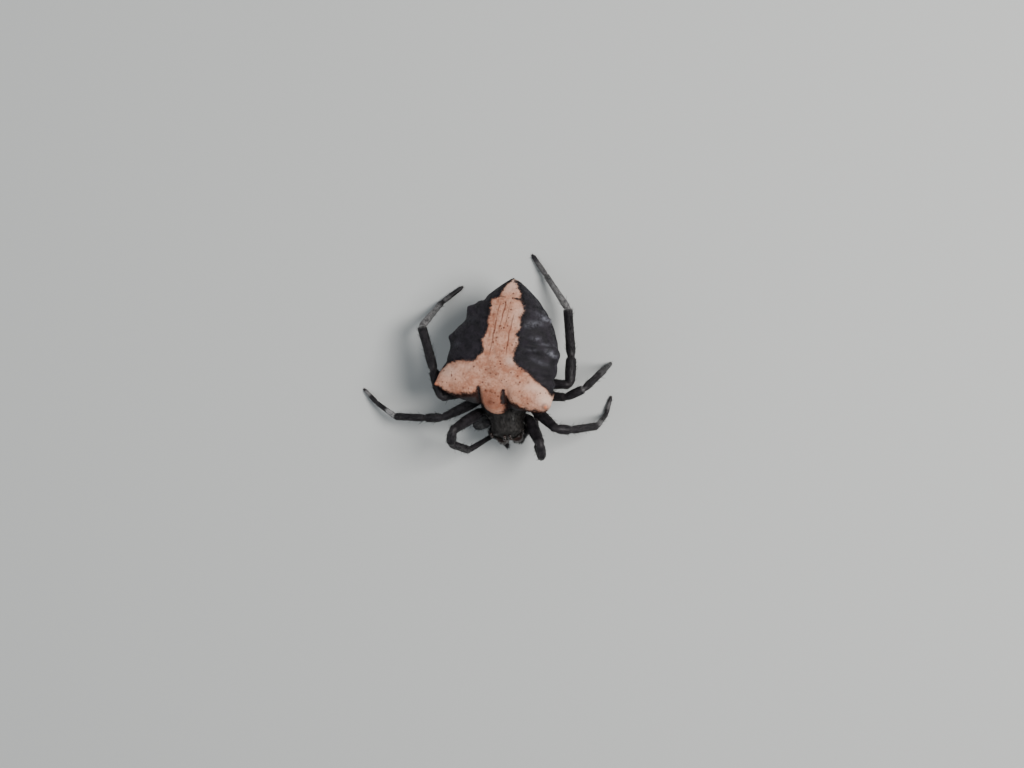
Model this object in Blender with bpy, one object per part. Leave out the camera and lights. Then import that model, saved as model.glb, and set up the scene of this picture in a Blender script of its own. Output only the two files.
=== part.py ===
# Shouldered orb weaver, a female about 25 mm long in the body, standing on its eight feet
# Head toward -Y, tail toward +Y, the spider's left toward +X, floor at z = 0, lengths in metres
import math

import bmesh
import bpy
from mathutils import Matrix, Vector

MM = 0.001

# Gap that touching pieces keep, and the sides of a limb tube (bevel_resolution 3 gives 10)
GAP = 0.3 * MM
LIMB_SIDES = 3

# Prosoma: its turn to the spider's left, the waist it turns about, and heights above the floor
PROSOMA_TURN = math.radians(17.0)
WAIST = Vector((0.0, -3.2, 0.0)) * MM
COXA_HEIGHT = 7.45 * MM
COXA_RADIUS = 0.68 * MM
COXA_INNER = 1.45 * MM

# Carapace: length, widest half width, underside, top
CARAPACE_LENGTH = 9.6 * MM
THORAX_HALF_WIDTH = 3.6 * MM
CARAPACE_UNDERSIDE = 8.42 * MM
CARAPACE_TOP = 11.1 * MM
CARAPACE_RIM = 0.25 * MM

# Lengthwise groove in the carapace: place along it, half length, half width, and depth
GROOVE_ALONG = 3.4 * MM
GROOVE_REACH = 1.3 * MM
GROOVE_WIDTH = 0.5 * MM
GROOVE_DEPTH = 0.5 * MM

# Sternum: its centre in the prosoma's own frame and its half sizes, in mm
STERNUM_CENTRE = (0.0, -4.4, 6.75)
STERNUM_SIZE = (1.12, 3.3, 0.95)

# Waist: where its tube ends under the abdomen, and its radius at the ends and the middle, in mm
PEDICEL_HEIGHT = 9.1
PEDICEL_END = (0.35, -1.95, 9.2)
PEDICEL_RADII = (0.66, 0.55, 0.66)

# Eyes on each side: place across, along and above, and radius, in mm
EYES = ((0.46, 9.45, 10.15, 0.32), (0.4, 9.05, 10.85, 0.3), (2.35, 8.85, 10.1, 0.24), (2.4, 8.5, 10.35, 0.22))

# Jaws: height and radius from the top down, the first place across and along, and the step to each next one
JAW_STATIONS = ((7.98, 0.56), (7.7, 0.84), (6.9, 0.92), (5.9, 0.84), (5.3, 0.6))
JAW_START = (1.12, 9.15)
JAW_STEP = (-0.02, 0.18)
FANG_ROOT = (1.1, 9.7, 5.55)
FANG_TIP = (0.62, 9.25, 4.8)
FANG_RADII = (0.32, 0.1)

# Palps: place across, along and above, radius, and share of the tip's own pose, in mm
PALP_ROUTE = (
    (2.3, 7.9, 6.2, 0.4, 0.0),
    (2.8, 8.35, 6.3, 0.46, 0.0),
    (2.65, 8.85, 5.3, 0.46, 0.0),
    (1.95, 9.4, 4.35, 0.46, 0.2),
    (1.3, 10.15, 3.85, 0.42, 0.6),
    (0.75, 11.2, 3.75, 0.24, 1.0),
)
# How far each palp's tip lies inward of that route, and how far back, in mm
PALP_TIP = {"left": (-0.4, 0.5), "right": (0.0, 0.0)}

# Abdomen: origin of its own frame, roll toward the spider's right, turn, length fore and aft, half width,
# and how far its tail leans to the spider's right
ABDOMEN_CENTRE = Vector((0.58, 0.15, 10.6)) * MM
ABDOMEN_ROLL = math.radians(-12.0)
ABDOMEN_TURN = math.radians(2.2)
ABDOMEN_FRONT = -8.0 * MM
ABDOMEN_TAIL = 11.45 * MM
ABDOMEN_HALF_WIDTH = 8.35 * MM
WIDEST_AT = -2.0 * MM
TAIL_LEAN = 0.35 * MM
TAIL_LEAN_START = 6.5 * MM
# How its outline from above closes toward the tail and toward the front
REAR_TAPER = (2.0, 0.85)
FRONT_TAPER = (4.0, 0.5)

# Leg pairs from the front: place of the hip along and across the prosoma, and segment lengths
SEGMENTS = ("femur", "patella", "tibia", "metatarsus", "tarsus")
HIPS = {1: (6.7, 3.1), 2: (5.0, 3.7), 3: (3.3, 3.7), 4: (1.5, 3.2)}
LENGTHS = {
    1: (6.9, 2.6, 6.7, 6.5, 2.8),
    2: (7.4, 2.4, 6.05, 6.1, 2.75),
    3: (6.5, 3.2, 5.5, 4.05, 3.1),
    4: (7.0, 4.35, 7.7, 7.0, 3.85),
}

# Pose: compass heading of each segment from +X toward +Y, and its slope, in degrees
# The last slope is left out, because the tarsus reaches down to the floor
POSE = {
    (1, "right"): ((-147, 56, 80, 92, 98), (-69, 30, 0, -4)),
    (2, "right"): ((-135, -88, -22, 42, 140), (51, -30, -66, -41)),
    (3, "right"): ((-144, -166, -170, 158, 147), (-5, -26, -26, -26)),
    (4, "right"): ((-157, 118, 120, 66, 48), (31, -13, -28, -53)),
    (1, "left"): ((-47, -77, 145, 106, 113), (51, -34, -75, -23)),
    (2, "left"): ((-26, 5, 15, 65, 86), (44, -27, -54, -74)),
    (3, "left"): ((8, 36, 55, 60, 60), (28, 12, -46, -88)),
    (4, "left"): ((9, 99, 106.5, 136.5, 136), (10, -16, -21, -29)),
}
HIP_RAISE = {(2, "right"): 0.3}
TIP_HEIGHT = 0.12 * MM
TIP_REACH = 0.2 * MM

# Thickest radius of each segment for each pair, in mm, and how it swells along its length
RADII = {
    1: (0.93, 0.70, 0.62, 0.42, 0.34),
    2: (0.84, 0.72, 0.62, 0.44, 0.35),
    3: (0.76, 0.66, 0.58, 0.44, 0.36),
    4: (0.82, 0.80, 0.74, 0.55, 0.41),
}
SWELL = {
    "femur": ((0.0, 0.66), (0.1, 0.84), (0.32, 1.0), (0.62, 0.94), (0.86, 0.78), (1.0, 0.74)),
    "patella": ((0.0, 0.8), (0.3, 1.0), (0.7, 1.0), (1.0, 0.84)),
    "tibia": ((0.0, 0.8), (0.15, 0.96), (0.5, 0.92), (0.85, 0.94), (1.0, 0.84)),
    "metatarsus": ((0.0, 0.92), (0.12, 1.0), (0.5, 0.86), (0.88, 0.78), (1.0, 0.74)),
    "tarsus": ((0.0, 0.92), (0.25, 1.0), (0.7, 0.86), (0.93, 0.80), (1.0, 0.50)),
}

COLLECTION_NAME = "shouldered_orb_weaver"


def clear_scene():
    for item in list(bpy.data.objects):
        bpy.data.objects.remove(item, do_unlink=True)


def make_collection(name):
    collection = bpy.data.collections.new(name)
    bpy.context.scene.collection.children.link(collection)
    return collection


def make_material(name, colour, roughness):
    material = bpy.data.materials.new(name)
    material.use_nodes = True
    shader = material.node_tree.nodes["Principled BSDF"]
    shader.inputs["Base Color"].default_value = (*colour, 1.0)
    shader.inputs["Roughness"].default_value = roughness
    shader.inputs["Metallic"].default_value = 0.0
    material.diffuse_color = (*colour, 1.0)
    return material


def interpolate(stations, at):
    """Smooth curve through (place, value) pairs."""
    last = len(stations) - 1
    if at <= stations[0][0]:
        return stations[0][1]
    if at >= stations[last][0]:
        return stations[last][1]
    number = next(k for k in range(last) if at <= stations[k + 1][0])
    (low, low_value), (high, high_value) = stations[number], stations[number + 1]
    before = stations[max(0, number - 1)]
    beyond = stations[min(last, number + 2)]
    span = high - low
    low_slope = (high_value - before[1]) / (high - before[0])
    high_slope = (beyond[1] - low_value) / (beyond[0] - low)
    part = (at - low) / span
    rest = 1.0 - part
    ends = low_value * rest * rest * (1.0 + 2.0 * part) + high_value * part * part * (3.0 - 2.0 * part)
    return ends + span * (low_slope * part * rest * rest - high_slope * part * part * rest)


def add_object(name, mesh, material, collection):
    mesh.materials.clear()
    mesh.materials.append(material)
    mesh.shade_smooth()
    mesh.set_sharp_from_angle(angle=math.radians(50.0))
    item = bpy.data.objects.new(name, mesh)
    collection.objects.link(item)
    return item


def finish_bmesh(shape, name):
    bmesh.ops.recalc_face_normals(shape, faces=shape.faces)
    if shape.calc_volume(signed=True) < 0.0:
        bmesh.ops.reverse_faces(shape, faces=shape.faces)
    mesh = bpy.data.meshes.new(name)
    shape.to_mesh(mesh)
    shape.free()
    return mesh


# Shapes


def tube_bmesh(points, radii):
    """A tube along points with a radius at each, closed at both ends."""
    curve = bpy.data.curves.new("tube", "CURVE")
    curve.dimensions = "3D"
    curve.bevel_depth = 1.0
    curve.bevel_resolution = LIMB_SIDES
    curve.use_fill_caps = True
    spline = curve.splines.new("POLY")
    spline.points.add(len(points) - 1)
    for knot, place, radius in zip(spline.points, points, radii):
        knot.co = (*place, 1.0)
        knot.radius = radius
    item = bpy.data.objects.new("tube", curve)
    bpy.context.scene.collection.objects.link(item)
    depsgraph = bpy.context.evaluated_depsgraph_get()
    mesh = bpy.data.meshes.new_from_object(item.evaluated_get(depsgraph))
    bpy.data.objects.remove(item, do_unlink=True)
    shape = bmesh.new()
    shape.from_mesh(mesh)
    bpy.data.meshes.remove(mesh)
    bmesh.ops.remove_doubles(shape, verts=shape.verts, dist=0.001 * MM)
    return shape


def cut_by_plane(shape, place, normal):
    """Removes what lies past the plane and closes the cut."""
    everything = shape.verts[:] + shape.edges[:] + shape.faces[:]
    bmesh.ops.bisect_plane(shape, geom=everything, plane_co=place, plane_no=normal, clear_outer=True)
    rim = [edge for edge in shape.edges if edge.is_boundary]
    bmesh.ops.holes_fill(shape, edges=rim)


def ellipsoid_bmesh(segments, rings, long_axis="Z"):
    """A unit sphere whose poles lie on the given axis."""
    shape = bmesh.new()
    bmesh.ops.create_uvsphere(shape, u_segments=segments, v_segments=rings, radius=1.0)
    if long_axis == "Y":
        bmesh.ops.rotate(shape, verts=shape.verts, matrix=Matrix.Rotation(math.radians(90.0), 3, "X"))
    return shape


def scaled_ellipsoid(centre, size, segments, rings):
    shape = ellipsoid_bmesh(segments, rings)
    bmesh.ops.scale(shape, verts=shape.verts, vec=size)
    bmesh.ops.translate(shape, verts=shape.verts, vec=centre)
    return shape


def cone_bmesh(base, tip, base_radius, tip_radius, segments):
    """A cone from base to tip with a small flat end."""
    shape = bmesh.new()
    axis = tip - base
    bmesh.ops.create_cone(
        shape, cap_ends=True, segments=segments, radius1=base_radius, radius2=tip_radius, depth=axis.length
    )
    turn = axis.to_track_quat("Z", "Y").to_matrix().to_4x4()
    shape.transform(Matrix.Translation((base + tip) / 2.0) @ turn)
    return shape


def join_shapes(body, extras, name):
    """Fuses closed shapes into the body and keeps the largest closed surface."""
    guests = make_collection(name + "_guests")
    for count, extra in enumerate(extras):
        mesh = finish_bmesh(extra, name + "_guest")
        guests.objects.link(bpy.data.objects.new(f"{name}_guest_{count}", mesh))
    host = bpy.data.objects.new(name + "_host", finish_bmesh(body, name))
    bpy.context.scene.collection.objects.link(host)
    union = host.modifiers.new("union", "BOOLEAN")
    union.operation = "UNION"
    union.operand_type = "COLLECTION"
    union.collection = guests
    union.solver = "EXACT"
    return largest_surface(host, guests, name)


def largest_surface(host, guests, name):
    """The evaluated host as a plain shape, with loose scraps and the guests removed."""
    depsgraph = bpy.context.evaluated_depsgraph_get()
    mesh = bpy.data.meshes.new_from_object(host.evaluated_get(depsgraph))
    for guest in list(guests.objects):
        bpy.data.objects.remove(guest, do_unlink=True)
    bpy.data.collections.remove(guests)
    bpy.data.objects.remove(host, do_unlink=True)
    shape = bmesh.new()
    shape.from_mesh(mesh)
    bpy.data.meshes.remove(mesh)
    left = set(shape.verts)
    surfaces = []
    while left:
        start = left.pop()
        surface = {start}
        front = [start]
        while front:
            vertex = front.pop()
            for edge in vertex.link_edges:
                other = edge.other_vert(vertex)
                if other in left:
                    left.discard(other)
                    surface.add(other)
                    front.append(other)
        surfaces.append(surface)
    keep = max(surfaces, key=len)
    bmesh.ops.delete(shape, geom=[v for v in shape.verts if v not in keep], context="VERTS")
    return shape


# Frames


def prosoma_point(along, across, height):
    """A place given forward of the waist and to the spider's left, all in metres."""
    forward = Vector((math.sin(PROSOMA_TURN), -math.cos(PROSOMA_TURN), 0.0))
    left = Vector((math.cos(PROSOMA_TURN), math.sin(PROSOMA_TURN), 0.0))
    return WAIST + forward * along + left * across + Vector((0.0, 0.0, height))


def prosoma_matrix():
    forward = Vector((math.sin(PROSOMA_TURN), -math.cos(PROSOMA_TURN), 0.0))
    left = Vector((math.cos(PROSOMA_TURN), math.sin(PROSOMA_TURN), 0.0))
    up = Vector((0.0, 0.0, 1.0))
    frame = Matrix((left, -forward, up)).transposed().to_4x4()
    return Matrix.Translation(WAIST) @ frame


def abdomen_matrix():
    turn = Matrix.Rotation(ABDOMEN_TURN, 4, "Z") @ Matrix.Rotation(ABDOMEN_ROLL, 4, "Y")
    return Matrix.Translation(ABDOMEN_CENTRE) @ turn


# Legs


def hip(pair, side):
    along, across = HIPS[pair]
    sign = 1.0 if side == "left" else -1.0
    raised = COXA_HEIGHT + HIP_RAISE.get((pair, side), 0.0) * MM
    return prosoma_point(along * MM, sign * across * MM, raised)


def leg_joints(pair, side):
    """Hip, knee, and each joint after it, down to the tip at the floor."""
    headings, slopes = POSE[(pair, side)]
    lengths = [length * MM for length in LENGTHS[pair]]
    joints = [hip(pair, side)]
    for number, (heading, length) in enumerate(zip(headings, lengths)):
        start = joints[-1]
        if number < len(slopes):
            slope = math.radians(slopes[number])
        else:
            slope = math.asin((TIP_HEIGHT - start.z) / length)
        turn = math.radians(heading)
        flat = length * math.cos(slope)
        step = Vector((flat * math.cos(turn), flat * math.sin(turn), length * math.sin(slope)))
        joints.append(start + step)
    return joints


def limb_piece(start, end, before, after, radius, swell, end_reach=0.0):
    """One segment, cut at each bend along the plane that halves it, half a gap short."""
    axis = (end - start).normalized()
    length = (end - start).length
    places = []
    radii = []
    reach = 1.3 * radius
    if before is not None:
        places.append(start - axis * reach)
        radii.append(radius * swell[0][1])
    for part, share in swell:
        places.append(start + axis * length * part)
        radii.append(radius * share)
    if after is not None:
        places.append(end + axis * reach)
        radii.append(radius * swell[-1][1])
    else:
        places[-1] += axis * end_reach
    shape = tube_bmesh(places, radii)
    if before is not None:
        normal = (before + axis).normalized()
        cut_by_plane(shape, start + normal * GAP / 2.0, -normal)
    if after is not None:
        normal = (axis + after).normalized()
        cut_by_plane(shape, end - normal * GAP / 2.0, normal)
    return shape


def make_leg(pair, side, material, band, collection):
    sign = 1.0 if side == "left" else -1.0
    joints = leg_joints(pair, side)
    root = prosoma_point(HIPS[pair][0] * MM, sign * COXA_INNER, COXA_HEIGHT - 0.15 * MM)
    chain = [root] + joints
    axes = [(b - a).normalized() for a, b in zip(chain, chain[1:])]
    prefix = f"leg_{pair}_{side}"
    coxa_swell = ((0.0, 0.9), (0.35, 1.0), (0.7, 0.94), (1.0, 0.86))
    coxa = limb_piece(chain[0], chain[1], None, axes[1], COXA_RADIUS, coxa_swell)
    add_object(f"{prefix}_coxa", finish_bmesh(coxa, prefix), material, collection)
    for number, segment in enumerate(SEGMENTS):
        after = axes[number + 2] if number + 2 < len(axes) else None
        piece = limb_piece(
            chain[number + 1],
            chain[number + 2],
            axes[number],
            after,
            RADII[pair][number] * MM,
            SWELL[segment],
            TIP_REACH if segment == "tarsus" else 0.0,
        )
        if segment == "tarsus":
            cut_by_plane(piece, Vector((0.0, 0.0, 0.0)), Vector((0.0, 0.0, -1.0)))
        colour = band if segment == "metatarsus" else material
        add_object(f"{prefix}_{segment}", finish_bmesh(piece, prefix), colour, collection)


# Prosoma


def carapace_half_width(along):
    """Half width of the carapace at a distance forward of the waist."""
    stations = ((0.0, 0.36), (1.2, 0.78), (3.4, 1.0), (5.2, 0.9), (6.6, 0.7), (8.2, 0.68), (9.6, 0.6))
    return THORAX_HALF_WIDTH * interpolate(stations, along / MM)


def carapace_top(along):
    stations = ((0.0, 0.35), (1.6, 0.78), (3.2, 0.9), (5.2, 1.0), (7.6, 1.0), (9.0, 0.92), (9.6, 0.72))
    return CARAPACE_UNDERSIDE + (CARAPACE_TOP - CARAPACE_UNDERSIDE) * interpolate(stations, along / MM)


def make_carapace(material, collection):
    shape = ellipsoid_bmesh(28, 22, "Y")
    for vertex in shape.verts:
        across, lengthwise, up = vertex.co
        ring = math.hypot(across, up)
        along = CARAPACE_LENGTH * (0.5 - 0.5 * lengthwise)
        roundness = min(1.0, ring * 1.5) if abs(lengthwise) > 0.6 else 1.0
        side = across / ring if ring > 1e-6 else 0.0
        rise = up / ring if ring > 1e-6 else 0.0
        half_width = carapace_half_width(along) * roundness
        if rise > 0.0:
            height = (carapace_top(along) - CARAPACE_UNDERSIDE) * roundness * rise ** 0.8
        else:
            height = CARAPACE_RIM * rise
        groove_along = (along - GROOVE_ALONG) / GROOVE_REACH
        groove_across = side * half_width / GROOVE_WIDTH
        groove = GROOVE_DEPTH * math.exp(-groove_along ** 2 - groove_across ** 2)
        height -= groove if rise > 0.2 else 0.0
        width = half_width * math.copysign(abs(side) ** 0.85, side)
        vertex.co = Vector((width, -along, CARAPACE_UNDERSIDE + CARAPACE_RIM + height))
    eyes = []
    for across, along, height, radius in EYES:
        for sign in (-1.0, 1.0):
            centre = Vector((sign * across, -along, height)) * MM
            eyes.append(scaled_ellipsoid(centre, Vector((radius, radius, radius)) * MM, 8, 6))
    shape = join_shapes(shape, eyes, "carapace")
    shape.transform(prosoma_matrix())
    add_object("carapace", finish_bmesh(shape, "carapace"), material, collection)


def make_sternum(material, collection):
    shape = scaled_ellipsoid(Vector(STERNUM_CENTRE) * MM, Vector(STERNUM_SIZE) * MM, 14, 10)
    shape.transform(prosoma_matrix())
    add_object("sternum", finish_bmesh(shape, "sternum"), material, collection)


def make_chelicera(side, material, collection):
    """The stout basal part of a jaw with its fang folded under it."""
    sign = 1.0 if side == "left" else -1.0
    places = []
    for number, (height, _) in enumerate(JAW_STATIONS):
        across = JAW_START[0] + JAW_STEP[0] * number
        along = JAW_START[1] + JAW_STEP[1] * number
        places.append(Vector((sign * across, -along, height)) * MM)
    shape = tube_bmesh(places, [radius * MM for _, radius in JAW_STATIONS])
    fang_root = Vector((sign * FANG_ROOT[0], -FANG_ROOT[1], FANG_ROOT[2])) * MM
    fang_tip = Vector((sign * FANG_TIP[0], -FANG_TIP[1], FANG_TIP[2])) * MM
    fang = cone_bmesh(fang_root, fang_tip, FANG_RADII[0] * MM, FANG_RADII[1] * MM, 8)
    shape = join_shapes(shape, [fang], f"chelicera_{side}")
    shape.transform(prosoma_matrix())
    add_object(f"chelicera_{side}", finish_bmesh(shape, "chelicera"), material, collection)


def make_palp(side, material, collection):
    sign = 1.0 if side == "left" else -1.0
    inward, back = PALP_TIP[side]
    places = [
        Vector((sign * (across - inward * share), back * share - along, height)) * MM
        for across, along, height, _, share in PALP_ROUTE
    ]
    shape = tube_bmesh(places, [radius * MM for _, _, _, radius, _ in PALP_ROUTE])
    shape.transform(prosoma_matrix())
    add_object(f"palp_{side}", finish_bmesh(shape, "palp"), material, collection)


def make_pedicel(material, collection):
    start = prosoma_point(0.0, 0.0, PEDICEL_HEIGHT * MM) + Vector((0.0, 1.5 * GAP, 0.0))
    end = Vector(PEDICEL_END) * MM
    shape = tube_bmesh([start, (start + end) / 2.0, end], [radius * MM for radius in PEDICEL_RADII])
    add_object("pedicel", finish_bmesh(shape, "pedicel"), material, collection)


# Abdomen


def abdomen_half_width(y):
    if y > WIDEST_AT:
        part = (y - WIDEST_AT) / (ABDOMEN_TAIL - WIDEST_AT)
        return ABDOMEN_HALF_WIDTH * max(0.0, 1.0 - part ** REAR_TAPER[0]) ** REAR_TAPER[1]
    part = (WIDEST_AT - y) / (WIDEST_AT - ABDOMEN_FRONT)
    return ABDOMEN_HALF_WIDTH * max(0.0, 1.0 - part ** FRONT_TAPER[0]) ** FRONT_TAPER[1]


# Height of the abdomen's midline, of its widest rim, and of its belly along its length, in mm
RIDGE = ((-8.0, 2.6), (-7.7, 3.7), (-7.0, 4.6), (-5.5, 5.3), (-3.5, 5.7), (0.0, 5.8), (4.0, 5.3), (8.0, 4.2),
         (10.3, 3.2), (11.1, 2.7), (11.45, 1.75))
MARGIN = ((-8.0, 2.4), (-2.0, 2.3), (4.0, 1.9), (9.0, 1.4), (11.45, 1.7))
BELLY = ((-8.0, 2.3), (-7.6, 1.5), (-6.6, 1.05), (-3.4, 0.9), (-2.2, 0.3), (-1.3, -1.4), (-0.5, -3.1),
         (0.9, -5.2), (3.2, -6.1), (5.6, -5.5), (8.0, -3.8), (9.8, -1.9), (11.0, 0.1), (11.45, 1.65))


def abdomen_surface(shape):
    """Turns a unit sphere with its poles fore and aft into the plain abdomen."""
    for vertex in shape.verts:
        across, lengthwise, up = vertex.co
        ring = math.hypot(across, up)
        middle = (ABDOMEN_TAIL + ABDOMEN_FRONT) / 2.0
        y = middle + lengthwise * (ABDOMEN_TAIL - ABDOMEN_FRONT) / 2.0
        side = across / ring if ring > 1e-6 else 0.0
        rise = up / ring if ring > 1e-6 else 0.0
        margin = interpolate(MARGIN, y / MM)
        edge = interpolate(RIDGE if rise > 0.0 else BELLY, y / MM)
        power = 0.86 if rise > 0.0 else 0.95
        lean = max(0.0, (y - TAIL_LEAN_START) / (ABDOMEN_TAIL - TAIL_LEAN_START)) ** 2
        x = abdomen_half_width(y) * math.copysign(abs(side) ** 0.9, side) - TAIL_LEAN * lean
        z = margin + (edge - margin) * abs(rise) ** power
        vertex.co = Vector((x, y, z * MM))


# Swellings of the abdomen: centre, push and reach, in mm, the left shoulder a little forward of the right one
SHOULDERS = (((7.0, -6.4, 4.0), (1.55, -0.75, 1.0), 2.3), ((-7.2, -5.2, 4.1), (-1.5, -0.4, 1.0), 2.4))
# Swellings alike on both sides, given for the left one
ARMS = ((4.2, -5.2, 5.0), (0.0, -0.2, 0.45), 2.2)
REAR_BUMPS = (((7.9, 1.5, 2.4), (0.75, 0.1, 0.3), 1.1), ((5.9, 6.2, 2.3), (0.75, 0.3, 0.3), 1.05))

# Front of the abdomen: how far the two notches go back and the lobe between them comes forward
NOTCH_DEPTH = 1.35 * MM
NOTCH_ACROSS = 2.15 * MM
NOTCH_WIDTH = 0.65 * MM
NOTCH_START = -2.6 * MM
NOTCH_RUN = 4.4 * MM
NOTCH_HEIGHT = 3.0 * MM
NOTCH_FADE = 0.7 * MM
LOBE_REACH = 0.8 * MM
LOBE_WIDTH = 1.7 * MM

# Small tips: base, point, and the two radii, in mm, on the shoulders and on each side of the rear
TIPS = (
    ((7.9, -6.05, 4.35), (8.55, -6.45, 5.4), 0.46, 0.17),
    ((-8.1, -5.6, 4.6), (-9.0, -5.8, 5.2), 0.46, 0.17),
    ((7.9, 1.45, 2.5), (8.7, 1.55, 2.8), 0.5, 0.28),
    ((-7.9, 1.45, 2.5), (-8.7, 1.55, 2.8), 0.5, 0.28),
    ((5.9, 6.15, 2.4), (6.65, 6.4, 2.7), 0.5, 0.28),
    ((-5.9, 6.15, 2.4), (-6.65, 6.4, 2.7), 0.5, 0.28),
)

# Spinnerets: place along the belly, how far out of it, the mound they stand on, and the four fingers, in mm
SPINNERETS_AT = 6.3
SLOPE_STEP = 0.2
SPINNERETS_OUT = 0.32
SPINNERET_MOUND = (1.05, 1.05, 0.9)
FINGER_ROOT = (0.4, 0.3)
FINGER_END = (0.55, 1.55)
FINGER_RADII = (0.4, 0.22)


def push_surface(shape, centre, push, reach):
    middle = Vector(centre) * MM
    shift = Vector(push) * MM
    for vertex in shape.verts:
        distance = (vertex.co - middle).length / (reach * MM)
        vertex.co += shift * math.exp(-distance * distance)


def mirrored(values):
    return (-values[0], values[1], values[2])


def notch_front(shape):
    """Draws the upper front back at two notches and forward at the lobe between them."""
    for vertex in shape.verts:
        x, y, z = vertex.co
        fore = min(1.0, max(0.0, (NOTCH_START - y) / NOTCH_RUN))
        fore = fore * fore * (3.0 - 2.0 * fore)
        high = 1.0 / (1.0 + math.exp((NOTCH_HEIGHT - z) / NOTCH_FADE))
        notch = NOTCH_DEPTH * math.exp(-((abs(x) - NOTCH_ACROSS) / NOTCH_WIDTH) ** 2)
        lobe = LOBE_REACH * math.exp(-(x / LOBE_WIDTH) ** 2)
        vertex.co.y += fore * (high * notch - lobe)


def make_abdomen(material, collection):
    shape = ellipsoid_bmesh(52, 36, "Y")
    abdomen_surface(shape)
    for centre, push, reach in SHOULDERS:
        push_surface(shape, centre, push, reach)
    for centre, push, reach in (ARMS, *REAR_BUMPS):
        push_surface(shape, centre, push, reach)
        push_surface(shape, mirrored(centre), mirrored(push), reach)
    notch_front(shape)
    nipples = []
    for base, tip, base_radius, tip_radius in TIPS:
        start = Vector(base) * MM
        end = Vector(tip) * MM
        nipples.append(cone_bmesh(start, end, base_radius * MM, tip_radius * MM, 10))
    shape = join_shapes(shape, nipples, "abdomen")
    shape.transform(abdomen_matrix())
    add_object("abdomen", finish_bmesh(shape, "abdomen"), material, collection)


def make_spinnerets(material, collection):
    """The cluster of spinnerets, square to the belly where the belly rises toward the tail."""
    low_at = SPINNERETS_AT - SLOPE_STEP
    high_at = SPINNERETS_AT + SLOPE_STEP
    low = Vector((0.0, low_at, interpolate(BELLY, low_at)))
    high = Vector((0.0, high_at, interpolate(BELLY, high_at)))
    tangent = (high - low).normalized()
    outward = Vector((0.0, tangent.z, -tangent.y))
    across = Vector((1.0, 0.0, 0.0))
    frame = Matrix((across, outward.cross(across), outward)).transposed().to_4x4()
    root = ((low + high) / 2.0 + outward * SPINNERETS_OUT) * MM
    shape = scaled_ellipsoid(Vector((0.0, 0.0, 0.0)), Vector(SPINNERET_MOUND) * MM, 12, 8)
    cut_by_plane(shape, Vector((0.0, 0.0, 0.0)), Vector((0.0, 0.0, -1.0)))
    fingers = []
    for side, along in ((1.0, 1.0), (-1.0, 1.0), (1.0, -1.0), (-1.0, -1.0)):
        start = Vector((side, along, 0.0)) * FINGER_ROOT[0] + Vector((0.0, 0.0, FINGER_ROOT[1]))
        end = Vector((side, along, 0.0)) * FINGER_END[0] + Vector((0.0, 0.0, FINGER_END[1]))
        fingers.append(cone_bmesh(start * MM, end * MM, FINGER_RADII[0] * MM, FINGER_RADII[1] * MM, 8))
    shape = join_shapes(shape, fingers, "spinnerets")
    shape.transform(abdomen_matrix() @ Matrix.Translation(root) @ frame)
    add_object("spinnerets", finish_bmesh(shape, "spinnerets"), material, collection)


def centre_on_floor(collection):
    """Moves everything so that its box is centred over the origin."""
    bpy.context.view_layer.update()
    corners = [item.matrix_world @ Vector(c) for item in collection.objects for c in item.bound_box]
    middle = [(min(c[k] for c in corners) + max(c[k] for c in corners)) / 2.0 for k in (0, 1)]
    shift = Vector((-middle[0], -middle[1], 0.0))
    for item in collection.objects:
        item.data.transform(Matrix.Translation(shift))


def main():
    clear_scene()
    collection = make_collection(COLLECTION_NAME)
    black = make_material("leg_black", (0.028, 0.024, 0.028), 0.5)
    grey = make_material("leg_grey", (0.16, 0.15, 0.15), 0.6)
    shell = make_material("shell_black", (0.022, 0.019, 0.022), 0.35)
    velvet = make_material("abdomen_velvet", (0.055, 0.04, 0.055), 0.8)
    jaw = make_material("jaw_black", (0.03, 0.02, 0.02), 0.3)
    make_abdomen(velvet, collection)
    make_spinnerets(black, collection)
    make_pedicel(black, collection)
    make_carapace(shell, collection)
    make_sternum(shell, collection)
    for side in ("left", "right"):
        make_chelicera(side, jaw, collection)
        make_palp(side, black, collection)
        for pair in HIPS:
            make_leg(pair, side, black, grey, collection)
    centre_on_floor(collection)


main()
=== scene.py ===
# Shouldered orb weaver: the looks of a large web-building spider, life size, round its fixed frame
import math

import bpy
import numpy as np
from mathutils import Matrix, Vector


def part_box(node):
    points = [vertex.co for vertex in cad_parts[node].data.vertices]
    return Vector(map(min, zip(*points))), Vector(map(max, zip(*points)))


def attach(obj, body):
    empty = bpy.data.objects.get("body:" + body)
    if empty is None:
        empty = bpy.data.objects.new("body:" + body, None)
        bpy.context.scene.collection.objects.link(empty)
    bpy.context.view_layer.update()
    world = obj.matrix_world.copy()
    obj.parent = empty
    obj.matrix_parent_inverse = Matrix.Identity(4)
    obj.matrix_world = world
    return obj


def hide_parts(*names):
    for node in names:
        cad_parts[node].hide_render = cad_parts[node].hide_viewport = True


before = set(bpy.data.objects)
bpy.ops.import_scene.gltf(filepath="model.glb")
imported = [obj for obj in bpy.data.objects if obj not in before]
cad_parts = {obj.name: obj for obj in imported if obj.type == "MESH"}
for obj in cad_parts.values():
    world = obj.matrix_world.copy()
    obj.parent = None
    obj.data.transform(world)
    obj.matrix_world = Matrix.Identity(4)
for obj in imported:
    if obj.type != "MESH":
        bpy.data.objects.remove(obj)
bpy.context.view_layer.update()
mm = 0.001  # every size below is in millimetres, and meshes are made in metres


# Curves, shapes and pieces

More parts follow.
